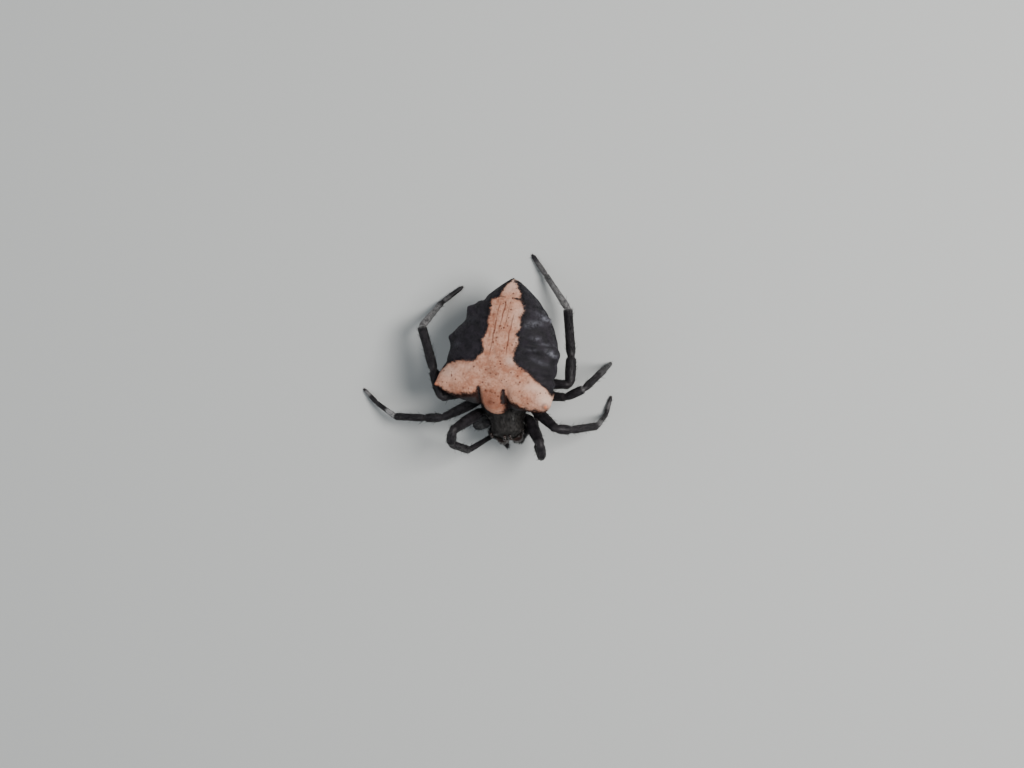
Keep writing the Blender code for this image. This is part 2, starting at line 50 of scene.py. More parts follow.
def smoothCurve(stations, at):
    # smooth curve through (place, value) pairs
    last = len(stations) - 1
    if at <= stations[0][0]:
        return stations[0][1]
    if at >= stations[last][0]:
        return stations[last][1]
    number = next(k for k in range(last) if at <= stations[k + 1][0])
    (low, lowValue), (high, highValue) = stations[number], stations[number + 1]
    before = stations[max(0, number - 1)]
    beyond = stations[min(last, number + 2)]
    lowSlope = (highValue - before[1]) / (high - before[0])
    highSlope = (beyond[1] - lowValue) / (beyond[0] - low)
    part = (at - low) / (high - low)
    rest = 1.0 - part
    ends = lowValue * rest * rest * (1.0 + 2.0 * part) + highValue * part * part * (3.0 - 2.0 * part)
    return ends + (high - low) * (lowSlope * part * rest * rest - highSlope * part * part * rest)


def curveOver(stations, values):
    flat = [smoothCurve(stations, value) for value in np.asarray(values).ravel()]
    return np.array(flat).reshape(np.shape(values))


def smoothStep(low, high, values):
    part = np.clip((values - low) / (high - low), 0.0, 1.0)
    return part * part * (3.0 - 2.0 * part)


def unit(vectors):
    vectors = np.asarray(vectors, float)
    return vectors / np.maximum(np.linalg.norm(vectors, axis=-1, keepdims=True), 1e-9)


def newStore():
    return {"verts": [], "faces": [], "uvs": [], "marks": {}, "count": 0}


def gridNormals(rings):
    down = np.gradient(rings, axis=0)
    around = np.roll(rings, -1, axis=1) - np.roll(rings, 1, axis=1)
    return unit(np.cross(around, down))


def addLoft(store, rings, marks=None, tile=(0.01, 0.01, 0.98, 0.98)):
    # closed skin over rings of points, ends closed with a fan, faces turned outward
    rows, sides = rings.shape[:2]
    verts = np.concatenate([rings.reshape(-1, 3), rings[:1].mean(axis=1), rings[-1:].mean(axis=1)])
    row, side = np.meshgrid(np.arange(rows - 1), np.arange(sides), indexing="ij")
    row, side = row.ravel(), side.ravel()
    following = (side + 1) % sides
    quads = np.stack([row * sides + side, row * sides + following,
                      (row + 1) * sides + following, (row + 1) * sides + side], axis=1)
    across, along = side / sides, row / (rows - 1)
    nextAcross, nextAlong = (side + 1) / sides, (row + 1) / (rows - 1)
    quadUvs = np.stack([np.stack([across, along], 1), np.stack([nextAcross, along], 1),
                        np.stack([nextAcross, nextAlong], 1), np.stack([across, nextAlong], 1)], axis=1)
    turn = np.arange(sides)
    turned = (turn + 1) % sides
    first = np.stack([turned, turn, np.full(sides, rows * sides)], axis=1)
    start = (rows - 1) * sides
    last = np.stack([start + turn, start + turned, np.full(sides, rows * sides + 1)], axis=1)
    firstUvs = np.stack([np.stack([(turn + 1) / sides, turn * 0.0], 1), np.stack([turn / sides, turn * 0.0], 1),
                         np.stack([(turn + 0.5) / sides, turn * 0.0], 1)], axis=1)
    lastUvs = np.stack([np.stack([turn / sides, turn * 0.0 + 1.0], 1),
                        np.stack([(turn + 1) / sides, turn * 0.0 + 1.0], 1),
                        np.stack([(turn + 0.5) / sides, turn * 0.0 + 1.0], 1)], axis=1)
    corners = [verts[quads[:, k]] for k in range(4)]
    volume = np.einsum("ij,ij->", corners[0], np.cross(corners[1], corners[2]))
    volume += np.einsum("ij,ij->", corners[0], np.cross(corners[2], corners[3]))
    for cap in (first, last):
        volume += np.einsum("ij,ij->", verts[cap[:, 0]], np.cross(verts[cap[:, 1]], verts[cap[:, 2]]))
    for faces, uvs in ((quads, quadUvs), (first, firstUvs), (last, lastUvs)):
        if volume < 0.0:
            faces, uvs = faces[:, ::-1], uvs[:, ::-1]
        store["faces"].extend((faces + store["count"]).tolist())
        placed = uvs * np.array(tile[2:]) + np.array(tile[:2])
        store["uvs"].append(placed.reshape(-1, 2))
    store["verts"].append(verts)
    store["count"] += len(verts)
    for name, values in (marks or {}).items():
        values = np.asarray(values, float)
        flat = values.reshape((rows * sides,) + values.shape[2:])
        ends = np.stack([values[0].mean(axis=0), values[-1].mean(axis=0)])
        store["marks"].setdefault(name, []).append(np.concatenate([flat, ends]))


def makePiece(name, store, material, replaced=()):
    mesh = bpy.data.meshes.new(name)
    mesh.from_pydata((np.concatenate(store["verts"]) * mm).tolist(), [], store["faces"])
    layer = mesh.uv_layers.new(name="skinPlace")
    layer.data.foreach_set("uv", np.concatenate(store["uvs"]).astype(np.float32).ravel())
    for mark, parts in store["marks"].items():
        values = np.concatenate(parts).astype(np.float32)
        kind, key = ("FLOAT_VECTOR", "vector") if values.ndim == 2 else ("FLOAT", "value")
        mesh.attributes.new(mark, kind, "POINT").data.foreach_set(key, values.ravel())
    mesh.materials.append(material)
    mesh.shade_smooth()
    piece = bpy.data.objects.new(name, mesh)
    bpy.context.scene.collection.objects.link(piece)
    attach(piece, "root")
    if replaced:
        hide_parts(*replaced)
    return piece


def tubeRings(points, radii, sides, flatten=1.0):
    # rings square to a path, carried along it without twist, seam underneath
    points = np.asarray(points, float)
    tangents = unit(np.gradient(points, axis=0))
    side = unit(np.cross(tangents[0], (0.0, 0.0, -1.0)) + np.array((1e-4, 0.0, 0.0)))
    angles = 2.0 * math.pi * np.arange(sides) / sides
    rings = []
    for place, tangent, radius in zip(points, tangents, radii):
        side = unit(side - tangent * np.dot(side, tangent))
        other = np.cross(tangent, side)
        ring = np.outer(np.cos(angles), other) * flatten + np.outer(np.sin(angles), side)
        rings.append(place + ring * radius)
    return np.array(rings), tangents


def pushOut(points, centre, push, reach):
    distance = np.linalg.norm(points - np.array(centre), axis=-1) / reach
    return points + np.exp(-distance * distance)[..., None] * np.array(push)


# Frames of the body, the same named sizes as the solids

prosoma = {
    "turnDegrees": 17.0, "waist": (0.0, -3.2), "sternumMiddle": 4.4,
    "coxaHeight": 7.45, "coxaRadius": 0.68, "coxaInner": 1.45,
}
headTurn = math.radians(prosoma["turnDegrees"])
forward = np.array((math.sin(headTurn), -math.cos(headTurn), 0.0))
leftward = np.array((math.cos(headTurn), math.sin(headTurn), 0.0))
upward = np.array((0.0, 0.0, 1.0))
waist = np.array((*prosoma["waist"], 0.0))
sternumLow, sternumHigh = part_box("sternum")
sternumCentre = np.array((sternumLow + sternumHigh) / 2.0) / mm
frameShift = sternumCentre - (waist + forward * prosoma["sternumMiddle"])
frameShift[2] = 0.0


def prosomaPlace(local):
    # local x to the spider's left, y backward, z up
    local = np.asarray(local, float)
    spread = local[..., :1] * leftward - local[..., 1:2] * forward + local[..., 2:] * upward
    return spread + waist + frameShift


def turnMatrix(degrees, axis):
    cosine, sine = math.cos(math.radians(degrees)), math.sin(math.radians(degrees))
    if axis == "Z":
        return np.array(((cosine, -sine, 0.0), (sine, cosine, 0.0), (0.0, 0.0, 1.0)))
    return np.array(((cosine, 0.0, sine), (0.0, 1.0, 0.0), (-sine, 0.0, cosine)))


# Materials

def livingSocket(sockets, name):
    return next(s for s in sockets if s.name == name and s.enabled)


def put(tree, kind, inputs=None, **settings):
    node = tree.nodes.new(kind)
    for key, value in settings.items():
        setattr(node, key, value)
    for name, value in (inputs or {}).items():
        socket = node.inputs[name] if isinstance(name, int) else livingSocket(node.inputs, name)
        if isinstance(value, bpy.types.NodeSocket):
            tree.links.new(value, socket)
        else:
            socket.default_value = value
    return node


def newMaterial(name, **shaderValues):
    material = bpy.data.materials.new(name)
    material.use_nodes = True
    tree = material.node_tree
    shader = tree.nodes["Principled BSDF"]
    for key, value in shaderValues.items():
        shader.inputs[key.replace("_", " ")].default_value = value
    return material, tree, shader


def objectCoords(tree):
    return put(tree, "ShaderNodeTexCoord").outputs["Object"]


def noiseOf(tree, vector, grain, detail=3.0, rough=0.6):
    # grain is the size of the pattern in millimetres
    node = put(tree, "ShaderNodeTexNoise",
               {"Vector": vector, "Scale": 1.0 / (grain * mm), "Detail": detail, "Roughness": rough})
    return livingSocket(node.outputs, "Fac")


def mathOf(tree, operation, first, second=0.0, clamp=False):
    node = put(tree, "ShaderNodeMath", {0: first, 1: second}, operation=operation, use_clamp=clamp)
    return node.outputs[0]


def rangeOf(tree, value, low, high, toLow=0.0, toHigh=1.0):
    node = put(tree, "ShaderNodeMapRange",
               {0: value, 1: low, 2: high, 3: toLow, 4: toHigh}, interpolation_type="SMOOTHSTEP")
    return node.outputs[0]


def mixOf(tree, factor, first, second):
    node = put(tree, "ShaderNodeMix", data_type="RGBA")
    for socket, value in zip((node.inputs[0], node.inputs[6], node.inputs[7]), (factor, first, second)):
        if isinstance(value, bpy.types.NodeSocket):
            tree.links.new(value, socket)
        else:
            socket.default_value = value if isinstance(value, float) else (*value, 1.0)
    return node.outputs[2]


def markOf(tree, name):
    return put(tree, "ShaderNodeAttribute", attribute_name=name)


def bumpOf(tree, shader, height, depth, strength=1.0):
    node = put(tree, "ShaderNodeBump", {"Height": height, "Distance": depth * mm, "Strength": strength})
    tree.links.new(node.outputs["Normal"], shader.inputs["Normal"])


abdomenColours = {
    "black": (0.013, 0.0115, 0.0145), "plum": (0.028, 0.023, 0.031), "wall": (0.034, 0.032, 0.033),
    # painted shade under the arms, then the pale bluish grey of the painted sheen on the flanks
    "shadow": (0.040, 0.015, 0.011), "paintedSheen": (0.23, 0.23, 0.27),
    # pale is the tail patch and the painted highlights on the cross
    "pink": (0.50, 0.205, 0.125), "peach": (0.74, 0.40, 0.28), "pale": (0.95, 0.68, 0.55),
    "lobe": (0.36, 0.13, 0.075), "rust": (0.15, 0.035, 0.018), "freckle": (0.12, 0.030, 0.018),
    "bead": (0.74, 0.25, 0.13),
}


def abdomenColour(tree):
    # pale cross on black, from the marks that skin and coat both carry
    colours = abdomenColours
    coords = objectCoords(tree)
    place = markOf(tree, "abdomenPlace").outputs["Vector"]
    edge = markOf(tree, "crossDepth").outputs["Fac"]
    across = put(tree, "ShaderNodeSeparateXYZ", {"Vector": place}).outputs["X"]
    ragged = mathOf(tree, "MULTIPLY", mathOf(tree, "SUBTRACT", noiseOf(tree, coords, 0.75, 4.0, 0.75), 0.5), 1.5)
    depth = mathOf(tree, "ADD", edge, ragged)
    inside = rangeOf(tree, depth, -0.05, 0.07)
    dark = mixOf(tree, rangeOf(tree, noiseOf(tree, coords, 1.3), 0.35, 0.7), colours["black"], colours["plum"])
    dark = mixOf(tree, markOf(tree, "frontWall").outputs["Fac"], dark, colours["wall"])
    dark = mixOf(tree, markOf(tree, "underArm").outputs["Fac"], dark, colours["shadow"])
    # painted sheen: pale bluish streaks on the flank folds where light catches them
    sheenStreaks = rangeOf(tree, noiseOf(tree, coords, 0.6, 4.0, 0.7), 0.35, 0.65)
    paintedSheen = mathOf(tree, "MULTIPLY", markOf(tree, "flankBloom").outputs["Fac"], sheenStreaks)
    dark = mixOf(tree, paintedSheen, dark, colours["paintedSheen"])
    mottle = mathOf(tree, "ADD", noiseOf(tree, coords, 0.35, 4.0, 0.7), noiseOf(tree, coords, 2.0))
    light = mixOf(tree, rangeOf(tree, mottle, 0.78, 1.2), colours["pink"], colours["peach"])
    # painted highlights on the arm ends and stem, with the pale tail patch
    light = mixOf(tree, markOf(tree, "crossPale").outputs["Fac"], light, colours["pale"])
    light = mixOf(tree, mathOf(tree, "MULTIPLY", markOf(tree, "lobeShade").outputs["Fac"], 0.72), light, colours["lobe"])
    stretched = put(tree, "ShaderNodeMapping", {"Vector": place, "Scale": (2.3, 0.22, 0.2)}).outputs[0]
    streak = put(tree, "ShaderNodeTexNoise", {"Vector": stretched, "Scale": 1.0, "Detail": 2.0}).outputs[0]
    wavy = mathOf(tree, "ADD", across, mathOf(tree, "MULTIPLY", noiseOf(tree, coords, 1.8), 0.5))
    thin = rangeOf(tree, mathOf(tree, "PINGPONG", wavy, 0.39), 0.17, 0.05)  # lines 0.78 mm apart
    thin = mathOf(tree, "MULTIPLY", thin, rangeOf(tree, streak, 0.44, 0.54))
    lines = mathOf(tree, "MULTIPLY", thin, markOf(tree, "stemLines").outputs["Fac"])
    light = mixOf(tree, mathOf(tree, "MULTIPLY", lines, 0.75), light, colours["rust"])
    dots = put(tree, "ShaderNodeTexVoronoi", {"Vector": coords, "Scale": 1.0 / (0.62 * mm), "Randomness": 1.0})
    size = rangeOf(tree, noiseOf(tree, coords, 1.6), 0.38, 0.62, 0.05, 0.25)
    dot = rangeOf(tree, mathOf(tree, "SUBTRACT", size, dots.outputs["Distance"]), 0.0, 0.05)
    light = mixOf(tree, mathOf(tree, "MULTIPLY", dot, 0.9), light, colours["freckle"])
    light = mixOf(tree, markOf(tree, "rustMark").outputs["Fac"], light, colours["rust"])
    light = mixOf(tree, markOf(tree, "tipBead").outputs["Fac"], light, colours["bead"])
    rim = rangeOf(tree, depth, 0.28, 0.02)
    light = mixOf(tree, mathOf(tree, "MULTIPLY", rim, 0.45), light, colours["rust"])
    return mixOf(tree, inside, dark, light), inside, coords


def makeAbdomenMaterial():
    material, tree, shader = newMaterial(
        "abdomenVelvet", Roughness=0.55, Sheen_Weight=0.03, Sheen_Roughness=0.4,
        Sheen_Tint=(0.72, 0.76, 1.0, 1.0), Specular_IOR_Level=0.28)
    colour, inside, coords = abdomenColour(tree)
    tree.links.new(colour, shader.inputs["Base Color"])
    nap = noiseOf(tree, coords, 0.09, 2.0)
    folds = noiseOf(tree, coords, 0.7, 4.0)
    height = mathOf(tree, "ADD", nap, mathOf(tree, "MULTIPLY", folds, 1.6))
    height = mathOf(tree, "ADD", height, mathOf(tree, "MULTIPLY", inside, 0.5))
    bumpOf(tree, shader, height, 0.10, 0.7)
    rough = rangeOf(tree, noiseOf(tree, coords, 0.6), 0.3, 0.7, 0.50, 0.72)
    tree.links.new(mathOf(tree, "ADD", rough, mathOf(tree, "MULTIPLY", inside, 0.15)), shader.inputs["Roughness"])
    return material


def makeAbdomenCoatMaterial():
    material, tree, shader = newMaterial("abdomenHair", Roughness=0.8, Specular_IOR_Level=0.02)
    colour, _, _ = abdomenColour(tree)
    tone = markOf(tree, "tuftTone").outputs["Fac"]
    shade = mixOf(tree, rangeOf(tree, tone, 0.3, 1.0, 0.0, 0.4), colour, (0.93, 0.72, 0.61))
    isPale = rangeOf(tree, markOf(tree, "crossDepth").outputs["Fac"], -0.2, 0.2)
    finish = mixOf(tree, isPale, colour, shade)
    tree.links.new(finish, shader.inputs["Base Color"])
    return material


def makeLegMaterial():
    material, tree, shader = newMaterial(
        "legShell", Roughness=0.42, Specular_IOR_Level=0.25)
    coords = objectCoords(tree)
    pale = markOf(tree, "legPale").outputs["Fac"]
    mottle = noiseOf(tree, coords, 0.45, 3.0)
    dark = mixOf(tree, rangeOf(tree, noiseOf(tree, coords, 1.1), 0.3, 0.7), (0.014, 0.0125, 0.0145), (0.034, 0.030, 0.034))
    joint = markOf(tree, "jointSkin").outputs["Fac"]
    dark = mixOf(tree, mathOf(tree, "MULTIPLY", joint, 0.8), dark, (0.026, 0.022, 0.024))
    # pale bands, partly pale hair and partly painted highlight
    spread = mathOf(tree, "MULTIPLY", pale, rangeOf(tree, mottle, 0.25, 0.6))
    colour = mixOf(tree, spread, dark, (0.40, 0.39, 0.39))
    tree.links.new(colour, shader.inputs["Base Color"])
    fine = mathOf(tree, "ADD", noiseOf(tree, coords, 0.12, 2.0), mathOf(tree, "MULTIPLY", mottle, 0.8))
    bumpOf(tree, shader, fine, 0.05, 0.6)
    tree.links.new(rangeOf(tree, mottle, 0.3, 0.7, 0.34, 0.55), shader.inputs["Roughness"])
    return material


def makeLegHairMaterial():
    material, tree, shader = newMaterial("legHair", Roughness=0.7, Specular_IOR_Level=0.03)
    tone = markOf(tree, "tuftTone").outputs["Fac"]
    pale = markOf(tree, "legPale").outputs["Fac"]
    dark = mixOf(tree, rangeOf(tree, tone, 0.92, 0.99), (0.011, 0.0095, 0.011), (0.15, 0.135, 0.125))
    # white hairs on the pale bands, partly painted highlight
    white = mathOf(tree, "MULTIPLY", pale, rangeOf(tree, tone, 0.1, 0.5))
    tree.links.new(mixOf(tree, white, dark, (0.76, 0.75, 0.75)), shader.inputs["Base Color"])
    return material


def makeShellMaterial(name, low, high, rough, grain):
    material, tree, shader = newMaterial(name, Specular_IOR_Level=0.22)
    coords = objectCoords(tree)
    blotch = noiseOf(tree, coords, grain * 5.0, 4.0)
    tree.links.new(mixOf(tree, rangeOf(tree, blotch, 0.3, 0.7), low, high), shader.inputs["Base Color"])
    pits = put(tree, "ShaderNodeTexVoronoi", {"Vector": coords, "Scale": 1.0 / (grain * mm)})
    height = mathOf(tree, "ADD", rangeOf(tree, pits.outputs["Distance"], 0.0, 0.5), mathOf(tree, "MULTIPLY", blotch, 1.2))
    bumpOf(tree, shader, height, 0.03, 0.7)
    tree.links.new(rangeOf(tree, blotch, 0.3, 0.7, rough - 0.08, rough + 0.1), shader.inputs["Roughness"])
    return material


def makeHeadHairMaterial():
    material, tree, shader = newMaterial("headHair", Roughness=0.7, Specular_IOR_Level=0.03)
    tone = markOf(tree, "tuftTone").outputs["Fac"]
    yellow = markOf(tree, "facePale").outputs["Fac"]
    dark = mixOf(tree, rangeOf(tree, tone, 0.85, 0.99), (0.015, 0.014, 0.014), (0.075, 0.068, 0.060))
    share = mathOf(tree, "MULTIPLY", yellow, rangeOf(tree, tone, 0.9, 0.98))
    tree.links.new(mixOf(tree, share, dark, (0.20, 0.17, 0.12)), shader.inputs["Base Color"])
    return material


def makeEyeMaterial():
    material, tree, shader = newMaterial("eyeGloss", Roughness=0.09, Coat_Weight=0.35, Coat_Roughness=0.03, Specular_IOR_Level=0.35)
    coords = objectCoords(tree)
    tone = rangeOf(tree, noiseOf(tree, coords, 0.4), 0.4, 0.6)
    tree.links.new(mixOf(tree, tone, (0.006, 0.004, 0.004), (0.030, 0.014, 0.010)), shader.inputs["Base Color"])
    return material


abdomenMaterial = makeAbdomenMaterial()
abdomenHair = makeAbdomenCoatMaterial()
legMaterial = makeLegMaterial()
legHair = makeLegHairMaterial()
carapaceMaterial = makeShellMaterial("carapaceShell", (0.023, 0.0215, 0.021), (0.050, 0.046, 0.044), 0.42, 0.16)
jawMaterial = makeShellMaterial("jawShell", (0.014, 0.008, 0.008), (0.045, 0.022, 0.018), 0.30, 0.12)
clawMaterial = makeShellMaterial("clawHorn", (0.030, 0.014, 0.008), (0.075, 0.034, 0.018), 0.28, 0.10)
headHair = makeHeadHairMaterial()
eyeMaterial = makeEyeMaterial()
print("materials made")


# Abdomen

abdomen = {
    "centre": (0.58, 0.15, 10.6), "rollDegrees": -12.0, "turnDegrees": 2.2,
    "front": -8.0, "tail": 11.45, "halfWidth": 8.35, "widestAt": -2.0,
    "rearTaper": (2.0, 0.85), "frontTaper": (4.0, 0.5), "tailLean": 0.35, "tailLeanStart": 6.5,
    "ridge": ((-8.0, 2.6), (-7.7, 3.7), (-7.0, 4.6), (-5.5, 5.3), (-3.5, 5.7), (0.0, 5.8), (4.0, 5.3), (8.0, 4.2),
              (10.3, 3.2), (11.1, 2.7), (11.45, 1.75)),
    "margin": ((-8.0, 2.4), (-2.0, 2.3), (4.0, 1.9), (9.0, 1.4), (11.45, 1.7)),
    "belly": ((-8.0, 2.3), (-7.6, 1.5), (-6.6, 1.05), (-3.4, 0.9), (-2.2, 0.3), (-1.3, -1.4), (-0.5, -3.1),
              (0.9, -5.2), (3.2, -6.1), (5.6, -5.5), (8.0, -3.8), (9.8, -1.9), (11.0, 0.1), (11.45, 1.65)),
    "rows": 210, "sides": 280,
    # swellings: centre, push, reach
    "swellings": (
        ((7.0, -6.4, 4.0), (1.55, -0.75, 1.0), 2.3), ((-7.2, -5.2, 4.1), (-1.5, -0.4, 1.0), 2.4),
        ((4.2, -5.2, 5.0), (0.0, -0.2, 0.45), 2.2), ((-4.2, -5.2, 5.0), (0.0, -0.2, 0.45), 2.2),
        ((7.9, 1.5, 2.4), (0.85, 0.1, 0.35), 1.15), ((-7.9, 1.5, 2.4), (-0.85, 0.1, 0.35), 1.15),
        ((5.9, 6.2, 2.3), (0.8, 0.3, 0.35), 1.1), ((-5.9, 6.2, 2.3), (-0.8, 0.3, 0.35), 1.1)),
    "notch": {"depth": 1.35, "across": 2.15, "width": 0.65, "start": -2.6, "run": 4.4, "height": 3.0, "fade": 0.7,
              "lobeReach": 0.8, "lobeWidth": 1.7},
    # small tips: base, point, reach, and how far the skin follows
    "tips": (
        ((8.2, -6.2, 4.85), (8.55, -6.45, 5.4), 0.40, 1.0), ((-8.75, -5.55, 4.8), (-9.08, -5.8, 5.3), 0.40, 1.0),
        ((7.9, 1.45, 2.5), (8.7, 1.55, 2.8), 0.6, 0.5), ((-7.9, 1.45, 2.5), (-8.7, 1.55, 2.8), 0.6, 0.5),
        ((5.9, 6.15, 2.4), (6.65, 6.4, 2.7), 0.6, 0.5), ((-5.9, 6.15, 2.4), (-6.65, 6.4, 2.7), 0.6, 0.5)),
    "foldSpacing": 2.4, "foldHeight": 0.16,
    # painted sheen: streaks of pale light on the flank folds, mostly on one flank: place, reach across and along,
    # slant and strength
    "paintedSheen": (((6.3, 6.2), (1.5, 0.42), -0.35, 1.0), ((4.3, 5.3), (1.4, 0.5), 0.25, 0.6),
              ((5.3, 3.3), (0.7, 0.3), 0.0, 0.5), ((6.6, 2.6), (1.2, 0.2), 0.0, 0.45),
              ((7.7, 1.4), (0.7, 0.4), -0.4, 0.95), ((5.0, 1.6), (0.9, 0.25), 0.1, 0.3),
              ((6.4, 0.0), (1.2, 0.35), -0.3, 0.3), ((-5.6, 4.5), (1.1, 0.4), 0.3, 0.22),
              ((-7.0, 0.5), (1.0, 0.4), 0.3, 0.22), ((-5.9, 8.0), (0.9, 0.3), 0.4, 0.3)),
}

# Cross: the edges of its stem along the body, and the rear and front edges of its arms across it
cross = {
    "stemLeft": ((-1.0, -2.9), (-0.6, -2.9), (0.2, -2.2), (1.0, -2.2), (1.9, -2.7), (2.7, -2.4), (3.5, -2.1),
                 (4.7, -2.3), (6.0, -2.3), (7.2, -2.5), (7.9, -2.6), (8.5, -1.45), (9.3, -1.3), (10.1, -0.95),
                 (10.9, -0.4), (11.5, -0.2)),
    "stemRight": ((-1.0, 2.8), (-0.5, 2.7), (0.8, 2.5), (2.1, 2.8), (2.8, 2.8), (3.5, 2.3), (4.3, 2.6), (5.3, 2.7),
                  (6.0, 2.2), (6.7, 2.6), (7.7, 2.5), (8.6, 1.7), (9.4, 1.55), (10.6, 0.6), (11.5, -0.2)),
    "rear": ((-9.6, -4.6), (-8.8, -3.6), (-7.9, -2.7), (-6.5, -1.95), (-4.9, -1.5), (-3.6, -1.35), (-2.8, -0.9),
             (0.0, 1.5), (2.7, -0.5), (3.5, -1.25), (5.1, -1.95), (6.2, -2.9), (7.9, -3.9), (8.8, -5.0), (9.6, -6.2)),
    "front": ((-9.6, -5.0), (-8.8, -5.5), (-8.2, -6.0), (-7.2, -6.5), (-5.9, -6.7), (-5.0, -6.5), (-3.9, -6.25),
              (-2.7, -6.0), (-2.4, -5.5), (1.8, -5.4), (2.1, -5.75), (2.7, -6.3), (3.6, -6.6), (4.4, -6.9), (5.1, -7.15),
              (5.9, -7.25), (7.0, -7.15), (8.0, -7.1), (8.7, -6.7), (9.6, -6.2)),
    "lobeLeft": ((-8.9, -1.3), (-8.5, -1.75), (-7.8, -2.05), (-6.3, -1.95), (-4.9, -1.95)),
    "lobeRight": ((-8.9, 0.7), (-8.5, 1.1), (-7.8, 1.6), (-6.3, 1.85), (-4.7, 1.6)),
    "lowest": 2.4, "lobeLowest": 2.1, "lobeRound": 0.14, "breakAt": 8.65, "breakHalf": 0.16,
    # dark slits beside the lobe: place across, top, and half width
    "slits": ((-2.25, -4.85, 0.3), (1.65, -4.8, 0.3)), "slitSharpness": 4.0,
    # pale patches, mostly painted highlights on the arm ends and along one edge of the stem: place, reach across and
    # along, strength; dark spots: place and reach
    "paleAndHighlightSpots": ((8.3, -5.4, 1.4, 1.1, 0.95), (6.6, -3.8, 1.6, 0.7, 0.7), (2.4, -0.5, 0.9, 0.6, 0.8),
                  (-7.4, -3.5, 1.6, 1.0, 0.6), (-4.6, -2.2, 1.5, 0.6, 0.25), (1.6, 6.2, 0.7, 1.6, 0.35),
                  (2.6, 7.0, 0.5, 0.8, 0.8), (2.8, 4.8, 0.5, 0.6, 0.8), (2.7, 2.6, 0.4, 0.5, 0.7)),
    "darkSpots": ((-0.6, 3.3, 0.16), (-0.4, 2.6, 0.16), (5.3, -3.2, 0.14), (-1.7, 5.9, 0.15), (0.65, 0.8, 0.14),
                  (0.3, -0.2, 0.15), (-0.65, -4.4, 0.16), (-0.96, -5.5, 0.15), (-0.25, -5.4, 0.17), (0.67, -2.6, 0.13),
                  (3.9, -3.7, 0.15), (4.7, -5.3, 0.18), (-4.5, -5.6, 0.14), (-6.2, -1.8, 0.13), (-4.7, -3.5, 0.13)),
}


def abdomenPlace(local):
    turned = turnMatrix(abdomen["turnDegrees"], "Z") @ turnMatrix(abdomen["rollDegrees"], "Y")
    return np.asarray(local) @ turned.T + np.array(abdomen["centre"]) + frameShift


def abdomenRings():
    rows, sides = abdomen["rows"], abdomen["sides"]
    tilt = math.pi * (np.arange(rows) + 0.6) / (rows + 0.2)
    angle = 2.0 * math.pi * np.arange(sides) / sides - math.pi / 2.0
    lengthwise = np.cos(tilt)
    y = (abdomen["tail"] + abdomen["front"]) / 2.0 + lengthwise * (abdomen["tail"] - abdomen["front"]) / 2.0
    side, rise = np.cos(angle)[None, :], np.sin(angle)[None, :]
    rearPart = np.clip((y - abdomen["widestAt"]) / (abdomen["tail"] - abdomen["widestAt"]), 0.0, 1.0)
    forePart = np.clip((abdomen["widestAt"] - y) / (abdomen["widestAt"] - abdomen["front"]), 0.0, 1.0)
    (rearPower, rearRoot), (forePower, foreRoot) = abdomen["rearTaper"], abdomen["frontTaper"]
    width = abdomen["halfWidth"] * np.where(
        y > abdomen["widestAt"], (1.0 - rearPart ** rearPower) ** rearRoot, (1.0 - forePart ** forePower) ** foreRoot)
    lean = np.clip((y - abdomen["tailLeanStart"]) / (abdomen["tail"] - abdomen["tailLeanStart"]), 0.0, 1.0) ** 2
    margin = curveOver(abdomen["margin"], y)[:, None]
    edge = np.where(rise > 0.0, curveOver(abdomen["ridge"], y)[:, None], curveOver(abdomen["belly"], y)[:, None])
    power = np.where(rise > 0.0, 0.86, 0.95)
    x = width[:, None] * np.sign(side) * np.abs(side) ** 0.9 - abdomen["tailLean"] * lean[:, None]
    z = margin + (edge - margin) * np.abs(rise) ** power
    return np.stack([x, np.broadcast_to(y[:, None], x.shape), z], axis=-1)


def notchFront(points):
    notch = abdomen["notch"]
    x, y, z = points[..., 0], points[..., 1], points[..., 2]
    fore = smoothStep(0.0, 1.0, (notch["start"] - y) / notch["run"])
    high = 1.0 / (1.0 + np.exp((notch["height"] - z) / notch["fade"]))
    back = notch["depth"] * np.exp(-((np.abs(x) - notch["across"]) / notch["width"]) ** 2)
    lobe = notch["lobeReach"] * np.exp(-(x / notch["lobeWidth"]) ** 2)
    moved = points.copy()
    moved[..., 1] += fore * (high * back - lobe)
    return moved


def lineOver(stations, values):
    places, heights = zip(*stations)
    return np.interp(values, places, heights)


def crossDepthAt(points):
    # depth inside the cross in millimetres, below zero outside it
    x, y, z = points[..., 0], points[..., 1], points[..., 2]
    stem = np.minimum(x - lineOver(cross["stemLeft"], y), lineOver(cross["stemRight"], y) - x)
    stem = np.where(y < -1.0, -9.0, stem)
    gap = cross["breakHalf"] - np.abs(y - cross["breakAt"])
    stem = np.minimum(stem, np.where(np.abs(x) > 0.5, 0.2 - gap * 2.2, stem))
    arms = np.minimum(lineOver(cross["rear"], x) - y, y - lineOver(cross["front"], x))
    lobe = np.minimum(x - lineOver(cross["lobeLeft"], y), lineOver(cross["lobeRight"], y) - x)
    lobeEnd = (z - cross["lobeLowest"] - cross["lobeRound"] * (x + 0.3) ** 2) * 1.2
    lobe = np.where(y > -4.2, -9.0, np.minimum(lobe, lobeEnd))
    rim = (z - cross["lowest"]) * 1.2 + 6.0 * (y > 8.0)
    inside = np.maximum(np.minimum(np.maximum(stem, arms), rim), lobe)
    for across, top, half in cross["slits"]:
        slit = np.maximum(np.abs(x - across) - half, y - top) * cross["slitSharpness"]
        inside = np.where(y > -7.0, np.minimum(inside, slit), inside)
    return np.clip(inside, -4.0, 4.0)


